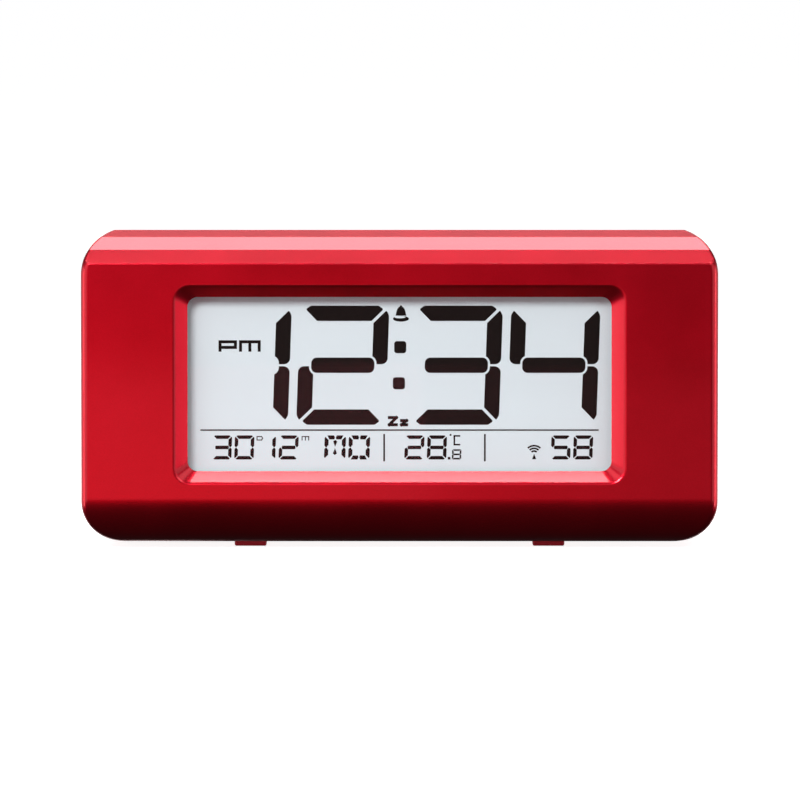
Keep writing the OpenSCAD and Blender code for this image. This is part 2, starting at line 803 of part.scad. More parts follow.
module large_digit(figure, w, h, t, gap) {
    bar_r = [0.05, 0.05, 0.1, 0.2, 0.2, 0.1] * t;
    post_r = [0, 0.4, 0.5, 0.05, 0.05] * t;
    middle_r = [1, 1, 1, 1] * 0.36 * t;
    bar = top_bar(w, h, t, gap);
    post = soft_post(w, h, t, gap);
    strokes = [bar, post, flip_z(post, h), flip_z(bar, h), flip_z(flip_x(post, w), h), flip_x(post, w)];
    difference() {
        for (k = [0:5])
            if (LIT[figure][k] == 1)
                polygon(stepped(lean(strokes[k], h), k % 3 == 0 ? bar_r : post_r));
        polygon(stepped(lean(soft_middle(w, h, t, gap), h), [for (r = middle_r) r + gap]));
    }
    if (LIT[figure][6] == 1)
        polygon(stepped(lean(soft_middle(w, h, t, 0), h), middle_r));
}

// Straight strokes through a list of points, each as wide as t
module pen(points, t) {
    for (k = [0:len(points) - 2]) {
        along = unit(points[k], points[k + 1]) * t / 2;
        across = [-along.y, along.x];
        polygon([
            points[k] - along - across, points[k + 1] + along - across,
            points[k + 1] + along + across, points[k] - along + across
        ]);
    }
}

// Two letters of the weekday: four posts, split bars, and the middle stroke of the first letter
module weekday_letter(is_first) {
    w = small_w + 0.4;
    t = small_t * 1.15;
    post = right_post(w, small_h, t, small_gap);
    half_bar = [
        [t + small_gap, small_h - t], [w / 2 - 0.2, small_h - t], [w / 2 - 0.1, small_h - t / 2],
        [w / 2 - 0.3, small_h], [0.5 * t + small_gap, small_h]
    ];
    middle = [
        [w / 2 - t / 2, small_h - 1.5 * t], [w / 2, small_h / 2 + small_gap],
        [w / 2 + t / 2, small_h - 1.5 * t], [w / 2, small_h - 1.1 * t]
    ];
    for (ring = [post, flip_x(post, w)]) {
        polygon(lean(ring, small_h));
        polygon(lean(flip_z(ring, small_h), small_h));
    }
    for (ring = [half_bar, flip_x(half_bar, w)]) {
        polygon(lean(ring, small_h));
        if (!is_first)
            polygon(lean(flip_z(ring, small_h), small_h));
    }
    if (is_first) {
        polygon(lean(middle, small_h));
        polygon(lean(flip_z(middle, small_h), small_h));
    }
}

// Bell with a bright gap between its dome and its rim
module bell_icon() {
    s = digit_t / 3.3;
    dome = [[1.15, -0.45], [1, 0.3], [0.8, 0.95], [0.5, 1.35], [0.25, 1.5], [0.18, 1.75]];
    polygon([for (p = concat(dome, [for (k = [5:-1:0]) [-dome[k].x, dome[k].y]])) p * s]);
    difference() {
        polygon([for (a = [0:15:345]) [1.72 * cos(a), 0.62 * sin(a) - 1.12] * s]);
        polygon([for (a = [0:15:345]) [1.2 * cos(a) - 0.2, 0.24 * sin(a) - 0.78] * s]);
    }
}

// Signal arcs over a small mast
module signal_icon() {
    for (k = [0:2])
        intersection() {
            difference() {
                circle(r = 1 + 0.58 * k);
                circle(r = 0.64 + 0.58 * k);
            }
            polygon([[0, 0], [2.8, 3], [-2.8, 3]]);
        }
    polygon([[-0.45, -0.95], [0.45, -0.95], [0, 0.2]]);
}

// Everything that is dark on the display, drawn round the middle of the window
module display_image() {
    digit_gap = 1.8;
    colon_gap = 5.25;
    stroke_gap = 0.45;
    dot = 2.6;
    dot_r = 0.6;
    dot_at = [0.14, 3.9];
    digit_z = -9;
    small_z = -16.5;
    pen_t = 0.65;
    fine_t = 0.2;
    rule = [85.8, 0.3];
    rule_z = -10.3;
    divider = [0.36, 5.9];
    divider_drop = 6.6;
    divider_x = [-3.5, 18.2];
    bell_at = [0.3, digit_z + digit_h - 1.7];
    sleep_letters = [[-2.2, 1.51, 1.55], [0.44, 1.08, 0.9]];
    sleep_z = digit_z;
    noon_at = [-38.65, 7.1];
    noon_step = 4.41;
    noon_h = 1.81;
    caption_z = small_z + 4.2;
    caption_h = 0.75;
    day_caption_x = -30.7;
    month_caption_x = -21;
    weekday_x = [-16.2, -11];
    point_x = 10.4;
    point = 0.55;
    tenth_x = 11.3;
    tenth = [2, 2.2, 0.34, 0.06];
    degree_at = [12.9, small_z + 3.2];
    degree_h = 1.9;
    degree_r = 0.22;
    degree_dot_at = [11, small_z + 5.3];
    signal_at = [29, small_z + 1];
    starts = [-2 * digit_w - digit_gap - colon_gap / 2, -digit_w - colon_gap / 2, colon_gap / 2,
        colon_gap / 2 + digit_w + digit_gap];
    for (k = [0:3])
        translate([starts[k], digit_z])
            large_digit(k + 1, digit_w, digit_h, digit_t, stroke_gap);
    for (side = [-1, 1])
        translate([side * dot_at.x, digit_z + digit_h / 2 + side * dot_at.y])
            plate(dot, dot, dot_r);
    translate(bell_at)
        bell_icon();
    // Two letters for a sleeping alarm
    for (letter = sleep_letters)
        translate([letter[0], sleep_z])
            pen([[0, letter[2]], [letter[1], letter[2]], [0, 0], [letter[1], 0]], pen_t);
    // Afternoon mark, drawn in letters noon_h high
    translate(noon_at)
        pen([[0, 0], [0, 1], [1.83, 1], [1.83, 0.33], [0, 0.33]] * noon_h, pen_t);
    translate([noon_at.x + noon_step, noon_at.y]) {
        pen([[0, 0], [0, 1], [2.22, 1], [2.22, 0]] * noon_h, pen_t);
        pen([[1.11, 0], [1.11, 1]] * noon_h, pen_t);
    }
    // Rule and dividers
    translate([-rule.x / 2, rule_z])
        square(rule);
    for (x = divider_x)
        translate([x, rule_z - divider_drop])
            square(divider);
    // Date, weekday, temperature and seconds
    small_figures = [
        [3, -40.35], [0, -35.55], [1, -30.9], [2, -26], [2, 1.1], [8, 5.95], [5, 32.65], [8, 37.45]
    ];
    for (entry = small_figures)
        translate([entry[1], small_z])
            digit(entry[0], small_w, small_h, small_t, small_gap);
    for (k = [0, 1])
        translate([weekday_x[k], small_z])
            weekday_letter(k == 0);
    translate([point_x, small_z])
        square(point);
    translate([tenth_x, small_z])
        digit(8, tenth[0], tenth[1], tenth[2], tenth[3]);
    translate(degree_at)
        pen([[0, 1], [-0.58, 1], [-0.58, 0], [0, 0]] * degree_h, tenth[2]);
    translate(degree_dot_at)
        circle(r = degree_r);
    translate([day_caption_x, caption_z])
        pen([[0, 0], [0, 1], [1.3, 1], [1.6, 0.5], [1.3, 0], [0, 0]] * caption_h, fine_t);
    translate([month_caption_x, caption_z]) {
        pen([[0, 0], [0, 1], [1.9, 1], [1.9, 0]] * caption_h, fine_t);
        pen([[0.95, 0], [0.95, 1]] * caption_h, fine_t);
    }
    translate(signal_at)
        signal_icon();
}

module lcd_segments() {
    color(ink)
        along_y(cell_y, rear_glass_y)
            translate([0, window_z])
                display_image();
}

module main_board() {
    color(board_green)
        difference() {
            slab(0, board_w, board_y, board_back, board_low, board_top);
            at_bosses()
                pin_y(0, 0, board_y - 1, board_back + 1, small_screw_d / 2 + pocket_gap);
        }
}

module board_screws() {
    color(steel)
        at_bosses()
            translate([0, board_back, 0])
                screw(small_screw_d, small_head_r, small_head_t, small_screw_l);
}

// Epoxy dome over the controller
module controller_chip() {
    dome_r = 7;
    dome_h = 1.8;
    ball_r = (dome_r * dome_r + dome_h * dome_h) / (2 * dome_h);
    color(black)
        intersection() {
            translate([0, board_back + dome_h - ball_r, window_z])
                sphere(r = ball_r, $fn = 160);
            slab(0, 3 * dome_r, board_back, board_back + 2 * dome_h,
                window_z - 2 * dome_r, window_z + 2 * dome_r);
        }
}

module quartz_crystal() {
    can_r = 1;
    can_l = 6;
    wire_r = 0.15;
    wire_l = 2;
    color(steel)
        translate([2 * can_l, 0, window_z - can_l]) {
            pin_x(board_back + can_r, 0, 0, can_l, can_r);
            for (side = [-1, 1])
                pin_x(board_back + can_r, side * can_r * 0.4, -wire_l, eps, wire_r);
        }
}

module board_capacitors() {
    can_r = 2.5;
    can_l = 6;
    chip_l = 2;
    chip_w = 1.2;
    chip_t = 0.8;
    chip_drop = 14;
    chip_z = window_z - chip_drop;
    can_x = 20;
    color([0.25, 0.27, 0.45])
        for (k = [0, 1])
            pin_y(can_x + 3 * can_r * k, window_z + can_l, board_back, board_back + can_l, can_r);
    color([0.6, 0.5, 0.4])
        for (k = [0:5])
            slab(2 * chip_l * (k - 6), chip_l, board_back, board_back + chip_t, chip_z, chip_z + chip_w);
}

module receiver_module() {
    module_x = -34;
    module_w = 18;
    module_h = 10;
    module_back = board_back + 0.8;
    chip_w = 6;
    chip_h = 4;
    chip_t = 1.4;
    chip_z = window_z + (module_h - chip_h) / 2;
    color(board_green)
        slab(module_x, module_w, board_back, module_back, window_z, window_z + module_h);
    color(black)
        slab(module_x, chip_w, module_back, module_back + chip_t, chip_z, chip_z + chip_h);
}

module ferrite_rod() {
    color([0.22, 0.21, 0.21])
        pin_x(rod_y, rod_z, -rod_l / 2, rod_l / 2, rod_d / 2);
}

module antenna_coil() {
    color(copper)
        difference() {
            pin_x(rod_y, rod_z, -coil_l / 2, coil_l / 2, coil_d / 2);
            pin_x(rod_y, rod_z, -coil_l / 2 - 1, coil_l / 2 + 1, rod_d / 2 + seat_gap);
        }
}

module antenna_leads() {
    wire_r = 0.3;
    lead_pitch = 4;
    color(copper)
        for (side = [-1, 1])
            pin_y(side * lead_pitch / 2, rod_z, board_back, rod_y - coil_d / 2 - seat_gap, wire_r);
}

module piezo_disc() {
    color([0.80, 0.66, 0.32])
        pin_y(side_x, piezo_z, piezo_y, piezo_y + piezo_t, piezo_d / 2);
}

module piezo_ceramic() {
    color([0.85, 0.84, 0.80])
        pin_y(side_x, piezo_z, piezo_y - piezo_t, piezo_y, ceramic_d / 2);
}

module piezo_leads() {
    lead_pitch = 4;
    color(dark_red)
        for (side = [-1, 1])
            pin_y(side_x + side * lead_pitch / 2, piezo_z, board_back, piezo_y - piezo_t, lead_d / 2);
}

// Bead on two stiff wires, close to the vents
module temperature_sensor() {
    bead_r = 1.4;
    wire_r = 0.25;
    wire_l = 8;
    color([0.15, 0.2, 0.35])
        translate([-side_x, board_back + wire_l, piezo_z])
            sphere(r = bead_r);
    color(steel)
        for (side = [-1, 1])
            pin_y(-side_x + side * bead_r * 0.4, piezo_z, board_back, board_back + wire_l, wire_r);
}

module key_board() {
    color(board_green)
        difference() {
            slab(0, key_board_w, key_board_y, key_switch_y, key_z - key_board_h / 2, key_z + key_board_h / 2);
            for (x = [-key_post_x, key_post_x])
                pin_y(x, key_z, key_board_y - 1, key_switch_y + 1, small_screw_d / 2 + pocket_gap);
        }
}

// These screws go in from the front, so they are turned end for end
module key_board_screws() {
    color(steel)
        for (x = [-key_post_x, key_post_x])
            translate([x, key_board_y, key_z])
                rotate([0, 0, 180])
                    screw(small_screw_d, small_head_r, small_head_t, small_screw_l);
}

// Body of a tact switch that stands on z = 0, with the bore of its plunger
module switch_body(travel) {
    difference() {
        translate([-switch_w / 2, -switch_w / 2, 0])
            cube([switch_w, switch_w, switch_h]);
        pin_z(0, 0, switch_h - plunger_depth(travel) - 0.1, switch_h + 1, plunger_r + slide_gap);
    }
}

// Depth of the bore: the plunger's tail at rest and its travel
plunger_tail = 1.2;
function plunger_depth(travel) = plunger_tail + travel;

module plunger() {
    pin_z(0, 0, switch_h - plunger_tail, switch_h + plunger_proud, plunger_r);
}

module at_key(k) {
    translate([key_first_x + k * key_pitch, key_switch_y, key_z])
        rotate([-90, 0, 0])
            children();
}

module key_switches() {
    color(black)
        for (k = [0:key_count - 1])
            at_key(k)
                switch_body(key_travel);
}

// Slide switch under the alarm slider, with the slot that the slider's lever runs in
module slide_switch() {
    can_wall = 2;
    can_h = 5.2;
    can_base = 1;
    color(steel)
        difference() {
            slab(slider_x, slider_travel + lever_w + 2 * can_wall, key_switch_y, key_switch_y + switch_h,
                key_z - can_h / 2, key_z + can_h / 2);
            slab(slider_x, slider_travel + lever_w + 2 * slide_gap,
                key_switch_y + can_base, key_switch_y + switch_h + 1,
                key_z - lever_w / 2 - slide_gap, key_z + lever_w / 2 + slide_gap);
        }
}

module snooze_board() {
    color(board_green)
        difference() {
            slab(0, 2 * (snooze_boss_x + boss_r + 0.5), snooze_y - snooze_board_d / 2,
                snooze_y + snooze_board_d / 2, snooze_board_z, snooze_board_top);
            for (x = [-snooze_boss_x, snooze_boss_x])
                pin_z(x, snooze_y, snooze_board_z - 1, snooze_board_top + 1, small_screw_d / 2 + pocket_gap);
        }
}

module snooze_board_screws() {
    color(steel)
        for (x = [-snooze_boss_x, snooze_boss_x])
            translate([x, snooze_y, snooze_board_z])
                rotate([-90, 0, 0])
                    screw(small_screw_d, small_head_r, small_head_t, small_screw_l);
}

module snooze_switch() {
    color(black)
        translate([0, snooze_y, snooze_board_top])
            switch_body(snooze_travel);
}

// Flat ribbons of wire between the boards
module key_ribbon() {
    ribbon_w = 10;
    color([0.75, 0.75, 0.72])
        slab(0, ribbon_w, board_back, key_board_y, key_z - ribbon_t / 2, key_z + ribbon_t / 2);
}

module snooze_ribbon() {
    drop = 4;
    ribbon_x = -17;
    ribbon_w = 6;
    color([0.75, 0.75, 0.72])
        along_x(ribbon_x - ribbon_w / 2, ribbon_x + ribbon_w / 2)
            polygon([
                [board_back, snooze_board_z - drop], [snooze_y + ribbon_t, snooze_board_z - drop],
                [snooze_y + ribbon_t, snooze_board_z], [snooze_y, snooze_board_z],
                [snooze_y, snooze_board_z - drop + ribbon_t], [board_back, snooze_board_z - drop + ribbon_t]
            ]);
}

// One AAA cell along X with its positive cap towards +X, turned round where side is -1
module cell(z, side) {
    cap_l = 0.8;
    cap_r = 1.9;
    rim = 0.4;
    jacket = cell_l - cap_l;
    translate([0, cell_axis_y, z])
        rotate([0, 90 * side, 0])
            rotate_extrude()
                polygon([
                    [0, -cell_l / 2], [cell_d / 2 - rim, -cell_l / 2], [cell_d / 2, rim - cell_l / 2],
                    [cell_d / 2, jacket - rim - cell_l / 2], [cell_d / 2 - rim, jacket - cell_l / 2],
                    [cap_r, jacket - cell_l / 2], [cap_r, cell_l / 2], [0, cell_l / 2]
                ]);
}

module upper_battery() {
    color([0.62, 0.63, 0.66])
        cell(upper_cell_z, 1);
}

module lower_battery() {
    color([0.62, 0.63, 0.66])
        cell(lower_cell_z, -1);
}

// Plate against the end wall of the bay, and the dimple or cone that meets the cell
module contact_plate(side, z0, z1) {
    reach = cell_d * 0.4;
    slab(side * (bay_w - contact_t) / 2, contact_t, cell_axis_y - reach, cell_axis_y + reach, z0, z1);
}

module contact_dimple(side, z, r_plate, r_cell) {
    translate([side * (bay_w / 2 - contact_t), cell_axis_y, z])
        rotate([0, -90 * side, 0])
            cylinder(h = contact_room - contact_t - seat_gap, r1 = r_plate, r2 = r_cell);
}

// Strip from the plate through the slot in the bay wall
module contact_tail(z) {
    slab(tail_x, contact_t, tail_end_y, cell_axis_y, z - tail_w / 2, z + tail_w / 2);
}

module link_contact() {
    color(steel) {
        contact_plate(-1, lower_cell_z - cell_d * 0.4, upper_cell_z + cell_d * 0.4);
        contact_dimple(-1, upper_cell_z, 3.4, 2.2);
        contact_dimple(-1, lower_cell_z, 2.4, 1.4);
    }
}

module positive_contact() {
    color(steel) {
        contact_plate(1, upper_cell_z - cell_d * 0.4, upper_cell_z + cell_d * 0.4);
        contact_dimple(1, upper_cell_z, 2.4, 1.4);
        contact_tail(upper_cell_z);
    }
}

module negative_contact() {
    color(steel) {
        contact_plate(1, lower_cell_z - cell_d * 0.4, lower_cell_z + cell_d * 0.4);
        contact_dimple(1, lower_cell_z, 3.4, 2.2);
        contact_tail(lower_tail_z);
    }
}

module power_leads() {
    color(dark_red)
        pin_y(tail_x, upper_cell_z, board_back, tail_end_y, lead_d / 2);
    color(black)
        pin_y(tail_x, lower_tail_z, board_back, tail_end_y, lead_d / 2);
}

// Door with a round lower edge on two hinge pins, and a spring tongue with finger grooves at its upper edge
module battery_door() {
    tongue_w = 14;
    tongue_h = 8;
    slit = 0.8;
    groove_w = 10;
    groove_d = 0.5;
    groove_pitch = 1.6;
    color(red)
        difference() {
            union() {
                slab(0, door_w, door_y, rear_y, hinge_z, door_top);
                pin_x(hinge_y, hinge_z, -door_w / 2, door_w / 2, door_t / 2);
                pin_x(hinge_y, hinge_z, -door_w / 2 - hinge_pin_l, door_w / 2 + hinge_pin_l, hinge_pin_r);
            }
            for (side = [-1, 1])
                slab(side * tongue_w / 2, slit, door_y - 1, rear_y + 1, door_top - tongue_h, door_top + 1);
            for (k = [0:2])
                slab(0, groove_w, rear_y - groove_d, rear_y + 1,
                    door_top - groove_pitch * (k + 1.5), door_top - groove_pitch * (k + 1));
        }
}

// Bar that follows the fall of the top, with a lip under the wall and a stem over its switch
module snooze_bar() {
    lip_points = [for (y = [snooze_y - snooze_d / 2 - snooze_lip, snooze_y + snooze_d / 2 + snooze_lip])
        [y, top_z(y) - (wall + 0.15) / cos(top_fall)]];
    bar_points = [for (y = [snooze_y - snooze_d / 2 - 1, snooze_y + snooze_d / 2 + 1])
        [y, top_z(y) + snooze_proud]];
    color(dark_red) {
        intersection() {
            translate([0, snooze_y, snooze_flange_low + eps])
                linear_extrude(crest_z)
                    plate(snooze_w, snooze_d, snooze_corner_r);
            along_x(-snooze_w, snooze_w)
                polygon([
                    [bar_points[0].x, snooze_flange_low], [bar_points[1].x, snooze_flange_low],
                    bar_points[1], bar_points[0]
                ]);
        }
        along_x(-snooze_w / 2 - snooze_lip, snooze_w / 2 + snooze_lip)
            polygon([
                [lip_points[0].x, snooze_flange_low], [lip_points[1].x, snooze_flange_low],
                lip_points[1], lip_points[0]
            ]);
        pin_z(0, snooze_y, snooze_stem_z, snooze_flange_low + 1, stem_r);
    }
}

module snooze_plunger() {
    color([0.9, 0.9, 0.88])
        translate([0, snooze_y, snooze_board_top])
            plunger();
}

// One rear key: cap through the wall, lip behind it, stem to the switch
module key(k) {
    color(key_red)
        translate([key_first_x + k * key_pitch, 0, key_z]) {
            along_y(key_flange_y + eps, key_face_y)
                plate(key_w, key_h, key_r);
            along_y(key_flange_y, key_flange_y + flange_t)
                plate(key_w + 2 * key_lip, key_h + 2 * key_lip, key_r);
            pin_y(0, 0, key_stem_y, key_flange_y + eps, stem_r);
        }
}

module key_plunger(k) {
    color([0.9, 0.9, 0.88])
        at_key(k)
            plunger();
}

// Slider at its off position, with the lever that reaches into the slide switch
module alarm_slider() {
    x = slider_x - slider_travel / 2;
    color(key_red) {
        slab(x, slider_w, key_flange_y + eps, key_face_y, key_z - slider_h / 2, key_z + slider_h / 2);
        slab(x, slider_w + 2 * key_lip, key_flange_y, key_flange_y + flange_t,
            key_z - slider_h / 2 - key_lip, key_z + slider_h / 2 + key_lip);
        slab(x, lever_w, key_switch_y + 1.6, key_flange_y + eps, key_z - lever_w / 2, key_z + lever_w / 2);
    }
}

front_housing();
rear_housing();
housing_screws();
feet();
lens_tape();
window_lens();
display_gasket();
lcd_front_polariser();
lcd_front_glass();
lcd_segments();
lcd_seal();
lcd_rear_glass();
lcd_rear_polariser();
light_guide();
backlight_leds();
lcd_holder();
zebra_strip();
main_board();
board_screws();
controller_chip();
quartz_crystal();
board_capacitors();
receiver_module();
ferrite_rod();
antenna_coil();
antenna_leads();
piezo_disc();
piezo_ceramic();
piezo_leads();
temperature_sensor();
key_board();
key_board_screws();
key_switches();
slide_switch();
snooze_board();
snooze_board_screws();
snooze_switch();
key_ribbon();
snooze_ribbon();
upper_battery();
lower_battery();
link_contact();
positive_contact();
negative_contact();
power_leads();
battery_door();
snooze_bar();
snooze_plunger();
key(0);  // set_key
key(1);  // up_key
key(2);  // down_key
key(3);  // alarm_key
key(4);  // wave_key
key_plunger(0);  // set_plunger
key_plunger(1);  // up_plunger
key_plunger(2);  // down_plunger
key_plunger(3);  // alarm_plunger
key_plunger(4);  // wave_plunger
alarm_slider();
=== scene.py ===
import math

import bmesh
import bpy
from mathutils import Matrix, Vector


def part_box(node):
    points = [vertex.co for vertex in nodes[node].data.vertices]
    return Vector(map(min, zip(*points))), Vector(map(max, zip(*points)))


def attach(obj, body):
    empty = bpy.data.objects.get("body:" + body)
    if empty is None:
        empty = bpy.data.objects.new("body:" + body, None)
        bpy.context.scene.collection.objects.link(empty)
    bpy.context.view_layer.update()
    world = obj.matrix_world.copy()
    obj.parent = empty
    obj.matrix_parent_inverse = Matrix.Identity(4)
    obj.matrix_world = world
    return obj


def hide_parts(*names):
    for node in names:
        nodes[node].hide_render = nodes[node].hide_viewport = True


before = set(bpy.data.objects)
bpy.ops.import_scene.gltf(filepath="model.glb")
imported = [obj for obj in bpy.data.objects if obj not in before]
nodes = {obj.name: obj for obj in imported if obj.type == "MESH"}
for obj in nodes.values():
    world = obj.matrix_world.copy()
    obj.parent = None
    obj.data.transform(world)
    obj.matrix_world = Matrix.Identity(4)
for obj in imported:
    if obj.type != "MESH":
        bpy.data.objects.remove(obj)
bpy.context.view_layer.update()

# Front housing: one shell moulded in ABS, sprayed with a metallic red base and a satin clear coat.
# The face is flat, the brow above it steps back in three facets, and the lower edge is a quarter round.
# The window lies in a bevelled recess with a short straight lip, behind which the lens is stuck.
MM = 0.001
HOUSING_LOW, HOUSING_HIGH = (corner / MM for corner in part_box("front_housing"))
FRONT_Y = HOUSING_LOW.y
SPLIT_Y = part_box("rear_housing")[0].y / MM
FLOOR_Z = HOUSING_LOW.z
CREST_Z = HOUSING_HIGH.z
HALF_W = HOUSING_HIGH.x
CORNER_R = 9.4
LOWER_R = 10.2
EDGE_R = 1.7
BROW_EDGE_R = 0.6
EDGE_FADE = 0.8
EDGE_SHARE = 0.45
CREST_CROWN = 0.3
FACETS = [(2.8, 2.8), (4.6, 2.5), (4.0, 1.35)]
FACET_EDGE_R = [0.5, 0.35, 0.35, 0.7]
ROW_STEP = 0.45
WALL = 2.0


def rounded_path(points, radii, steps):
    """The open path through the points, with an arc of so many steps at each inner point."""
    path = [Vector(points[0])]
    for before, corner, after, radius in zip(points, points[1:], points[2:], radii):
        corner = Vector(corner)
        back = (Vector(before) - corner).normalized()
        ahead = (Vector(after) - corner).normalized()
        half = back.angle(ahead) / 2
        centre = corner + (back + ahead).normalized() * radius / math.sin(half)
        start = corner + back * radius / math.tan(half) - centre
        sweep = start.angle_signed(corner + ahead * radius / math.tan(half) - centre)
        for k in range(steps + 1):
            path.append(centre + Matrix.Rotation(-sweep * k / steps, 2) @ start)
    path.append(Vector(points[-1]))
    return path


def subdivided(path, step):
    """The path with extra points so that none of its stretches is longer than the step."""
    finer = [path[0]]
    for start, end in zip(path, path[1:]):
        parts = max(1, math.ceil((end - start).length / step))
        finer += [start.lerp(end, k / parts) for k in range(1, parts + 1)]
    return finer


def half_width(z):
    """Half the width of the case at a height, less where the corners are round."""
    below = FLOOR_Z + CORNER_R - z
    above = z - (CREST_Z + CREST_CROWN - CORNER_R)
    over = max(below, above, 0)
    return HALF_W - CORNER_R + math.sqrt(max(CORNER_R ** 2 - over ** 2, 0))


def edge_radius(y, z):
    """The round along both side edges: full beside the face and the lower round, small on the brow."""
    crease_z = CREST_Z - sum(rise for run, rise in FACETS)
    share = min(max((z - crease_z) / EDGE_FADE, 0), 1)
    return min(EDGE_R + (BROW_EDGE_R - EDGE_R) * share, EDGE_SHARE * (SPLIT_Y - y))


def housing_row(y, z):
    """A level ring round the front housing at a height, where its face stands at depth y."""
    side = half_width(z)
    edge = edge_radius(y, z)
    turns = [math.radians(15 * k) for k in range(7)]
    left = [(-side + edge - edge * math.cos(t), y + edge - edge * math.sin(t), z) for t in turns]
    right = [(-x, front, level) for x, front, level in reversed(left)]
    return [(-side, SPLIT_Y, z)] + left + right + [(side, SPLIT_Y, z)]


def mesh_piece(name, points, faces):
    """A mesh object from points in millimetres, with its faces turned outwards."""
    mesh = bpy.data.meshes.new(name)
    mesh.from_pydata([Vector(p) * MM for p in points], [], faces)
    shape = bmesh.new()
    shape.from_mesh(mesh)
    bmesh.ops.remove_doubles(shape, verts=shape.verts, dist=1e-7)
    bmesh.ops.recalc_face_normals(shape, faces=shape.faces)
    shape.to_mesh(mesh)
    shape.free()
    piece = bpy.data.objects.new(name, mesh)
    bpy.context.scene.collection.objects.link(piece)
    return piece


def loft(name, rings):
    """A closed piece through rings of equally many points, with its two ends filled."""
    count = len(rings[0])
    faces = [tuple(range(count)), tuple(range(len(rings) * count - count, len(rings) * count))]
    for level in range(len(rings) - 1):
        for k in range(count):
            after = (k + 1) % count
            low = level * count
            faces.append((low + k, low + after, low + count + after, low + count + k))
    return mesh_piece(name, [p for ring in rings for p in ring], faces)


def upright_ring(width, height, radius, y, z, steps=8):
    """A rounded rectangle at depth y, centred on the middle of the case and on the height z."""
    ring = []
    for turn, (sx, sz) in enumerate([(1, 1), (-1, 1), (-1, -1), (1, -1)]):
        for k in range(steps + 1):
            angle = math.radians(90 * (turn + k / steps))
            x = sx * (width / 2 - radius) + radius * math.cos(angle)
            ring.append((x, y, z + sz * (height / 2 - radius) + radius * math.sin(angle)))
    return ring


def carve(piece, cutter):
    """Cuts the cutter out of the piece and throws it away."""
    cut = piece.modifiers.new("cut", "BOOLEAN")
    cut.operation = "DIFFERENCE"
    cut.solver = "EXACT"
    cut.object = cutter
    rough = piece.data
    made = piece.evaluated_get(bpy.context.evaluated_depsgraph_get())
    piece.data = bpy.data.meshes.new_from_object(made)
    piece.modifiers.clear()
    bpy.data.meshes.remove(rough)
    bpy.data.meshes.remove(cutter.data)


def smooth(piece, sharp_angle=32, bevel=0.0):
    """Smooth shading that keeps flat faces flat, after a small bevel on sharp edges if one is asked."""
    if bevel:
        edges = piece.modifiers.new("edges", "BEVEL")
        edges.width = bevel * MM
        edges.segments = 2
        edges.limit_method = "ANGLE"
        edges.angle_limit = math.radians(sharp_angle)
        edges.use_clamp_overlap = True
    piece.data.shade_smooth()
    if not bevel:
        piece.data.set_sharp_from_angle(angle=math.radians(sharp_angle))
    normals = piece.modifiers.new("normals", "WEIGHTED_NORMAL")
    normals.keep_sharp = True
    return piece


profile = [(SPLIT_Y, FLOOR_Z), (FRONT_Y, FLOOR_Z)]
facet_y, facet_z = FRONT_Y, CREST_Z - sum(rise for run, rise in FACETS)
profile.append((facet_y, facet_z))
for run, rise in FACETS:
    facet_y += run
    facet_z += rise
    profile.append((facet_y, facet_z))
profile.append((SPLIT_Y, CREST_Z))
lower_round = rounded_path(profile[:3], [LOWER_R], 26)[1:-1]
upper_path = rounded_path(profile[1:], FACET_EDGE_R, 6)[1:-1]
corner_start = Vector((FRONT_Y, CREST_Z + CREST_CROWN - CORNER_R))
upper_path = subdivided([corner_start] + upper_path, ROW_STEP)
front_piece = loft("front_shell", [housing_row(y, z) for y, z in lower_round + upper_path])

LENS_LOW, LENS_HIGH = (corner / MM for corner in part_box("window_lens"))
LENS_MARGIN = 2.2
WINDOW_W = LENS_HIGH.x - LENS_LOW.x - 2 * LENS_MARGIN
WINDOW_H = LENS_HIGH.z - LENS_LOW.z - 2 * LENS_MARGIN
WINDOW_Z = (LENS_LOW.z + LENS_HIGH.z) / 2
SEAT_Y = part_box("lens_tape")[0].y / MM
BEVEL_SIDE = 2.9
BEVEL_LEVEL = 2.5
RIM_R = 3.4
WINDOW_R = 2.2
LIP = 1.0
RIM_ROUND = 0.4


def window_ring(share, y):
    """A ring of the window recess: share 0 is its lip and share 1 its rim at the face."""
    radius = WINDOW_R + (RIM_R - WINDOW_R) * share
    width = WINDOW_W + 2 * BEVEL_SIDE * share
    return upright_ring(width, WINDOW_H + 2 * BEVEL_LEVEL * share, radius, y, WINDOW_Z, steps=10)


bevel_depth = SEAT_Y - LIP - FRONT_Y
rim_share = RIM_ROUND / BEVEL_SIDE
window_rings = [window_ring(1 + rim_share, FRONT_Y - 1), window_ring(1 + rim_share, FRONT_Y)]
for k in range(1, 5):
    bend = k / 4
    share = 1 + rim_share * (1 - bend) ** 2 - rim_share * bend ** 2
    window_rings.append(window_ring(share, FRONT_Y + bevel_depth * rim_share * bend ** 2))
window_rings += [window_ring(0, SEAT_Y - LIP), window_ring(0, SEAT_Y + 1)]
window_cutter = loft("window_cutter", window_rings)
DEEP_MARGIN = 6.0
DEEP_R = 2.0
SHALLOW_Y = -14.5
SHALLOW_INSET = 0.5
room_w = 2 * (HALF_W - WALL)
deep_h = WINDOW_H + 2 * DEEP_MARGIN
deep_room = loft("deep_room", [
    upright_ring(room_w, deep_h, DEEP_R, y, WINDOW_Z) for y in (SEAT_Y, SPLIT_Y + 1)
])
case_h = CREST_Z - FLOOR_Z
shallow_h = case_h - 2 * (WALL + SHALLOW_INSET)
shallow_room = loft("shallow_room", [
    upright_ring(room_w, shallow_h, CORNER_R - WALL, y, FLOOR_Z + case_h / 2)
    for y in (SHALLOW_Y, SPLIT_Y + 1)
])
for room in (window_cutter, deep_room, shallow_room):
    carve(front_piece, room)
smooth(front_piece)


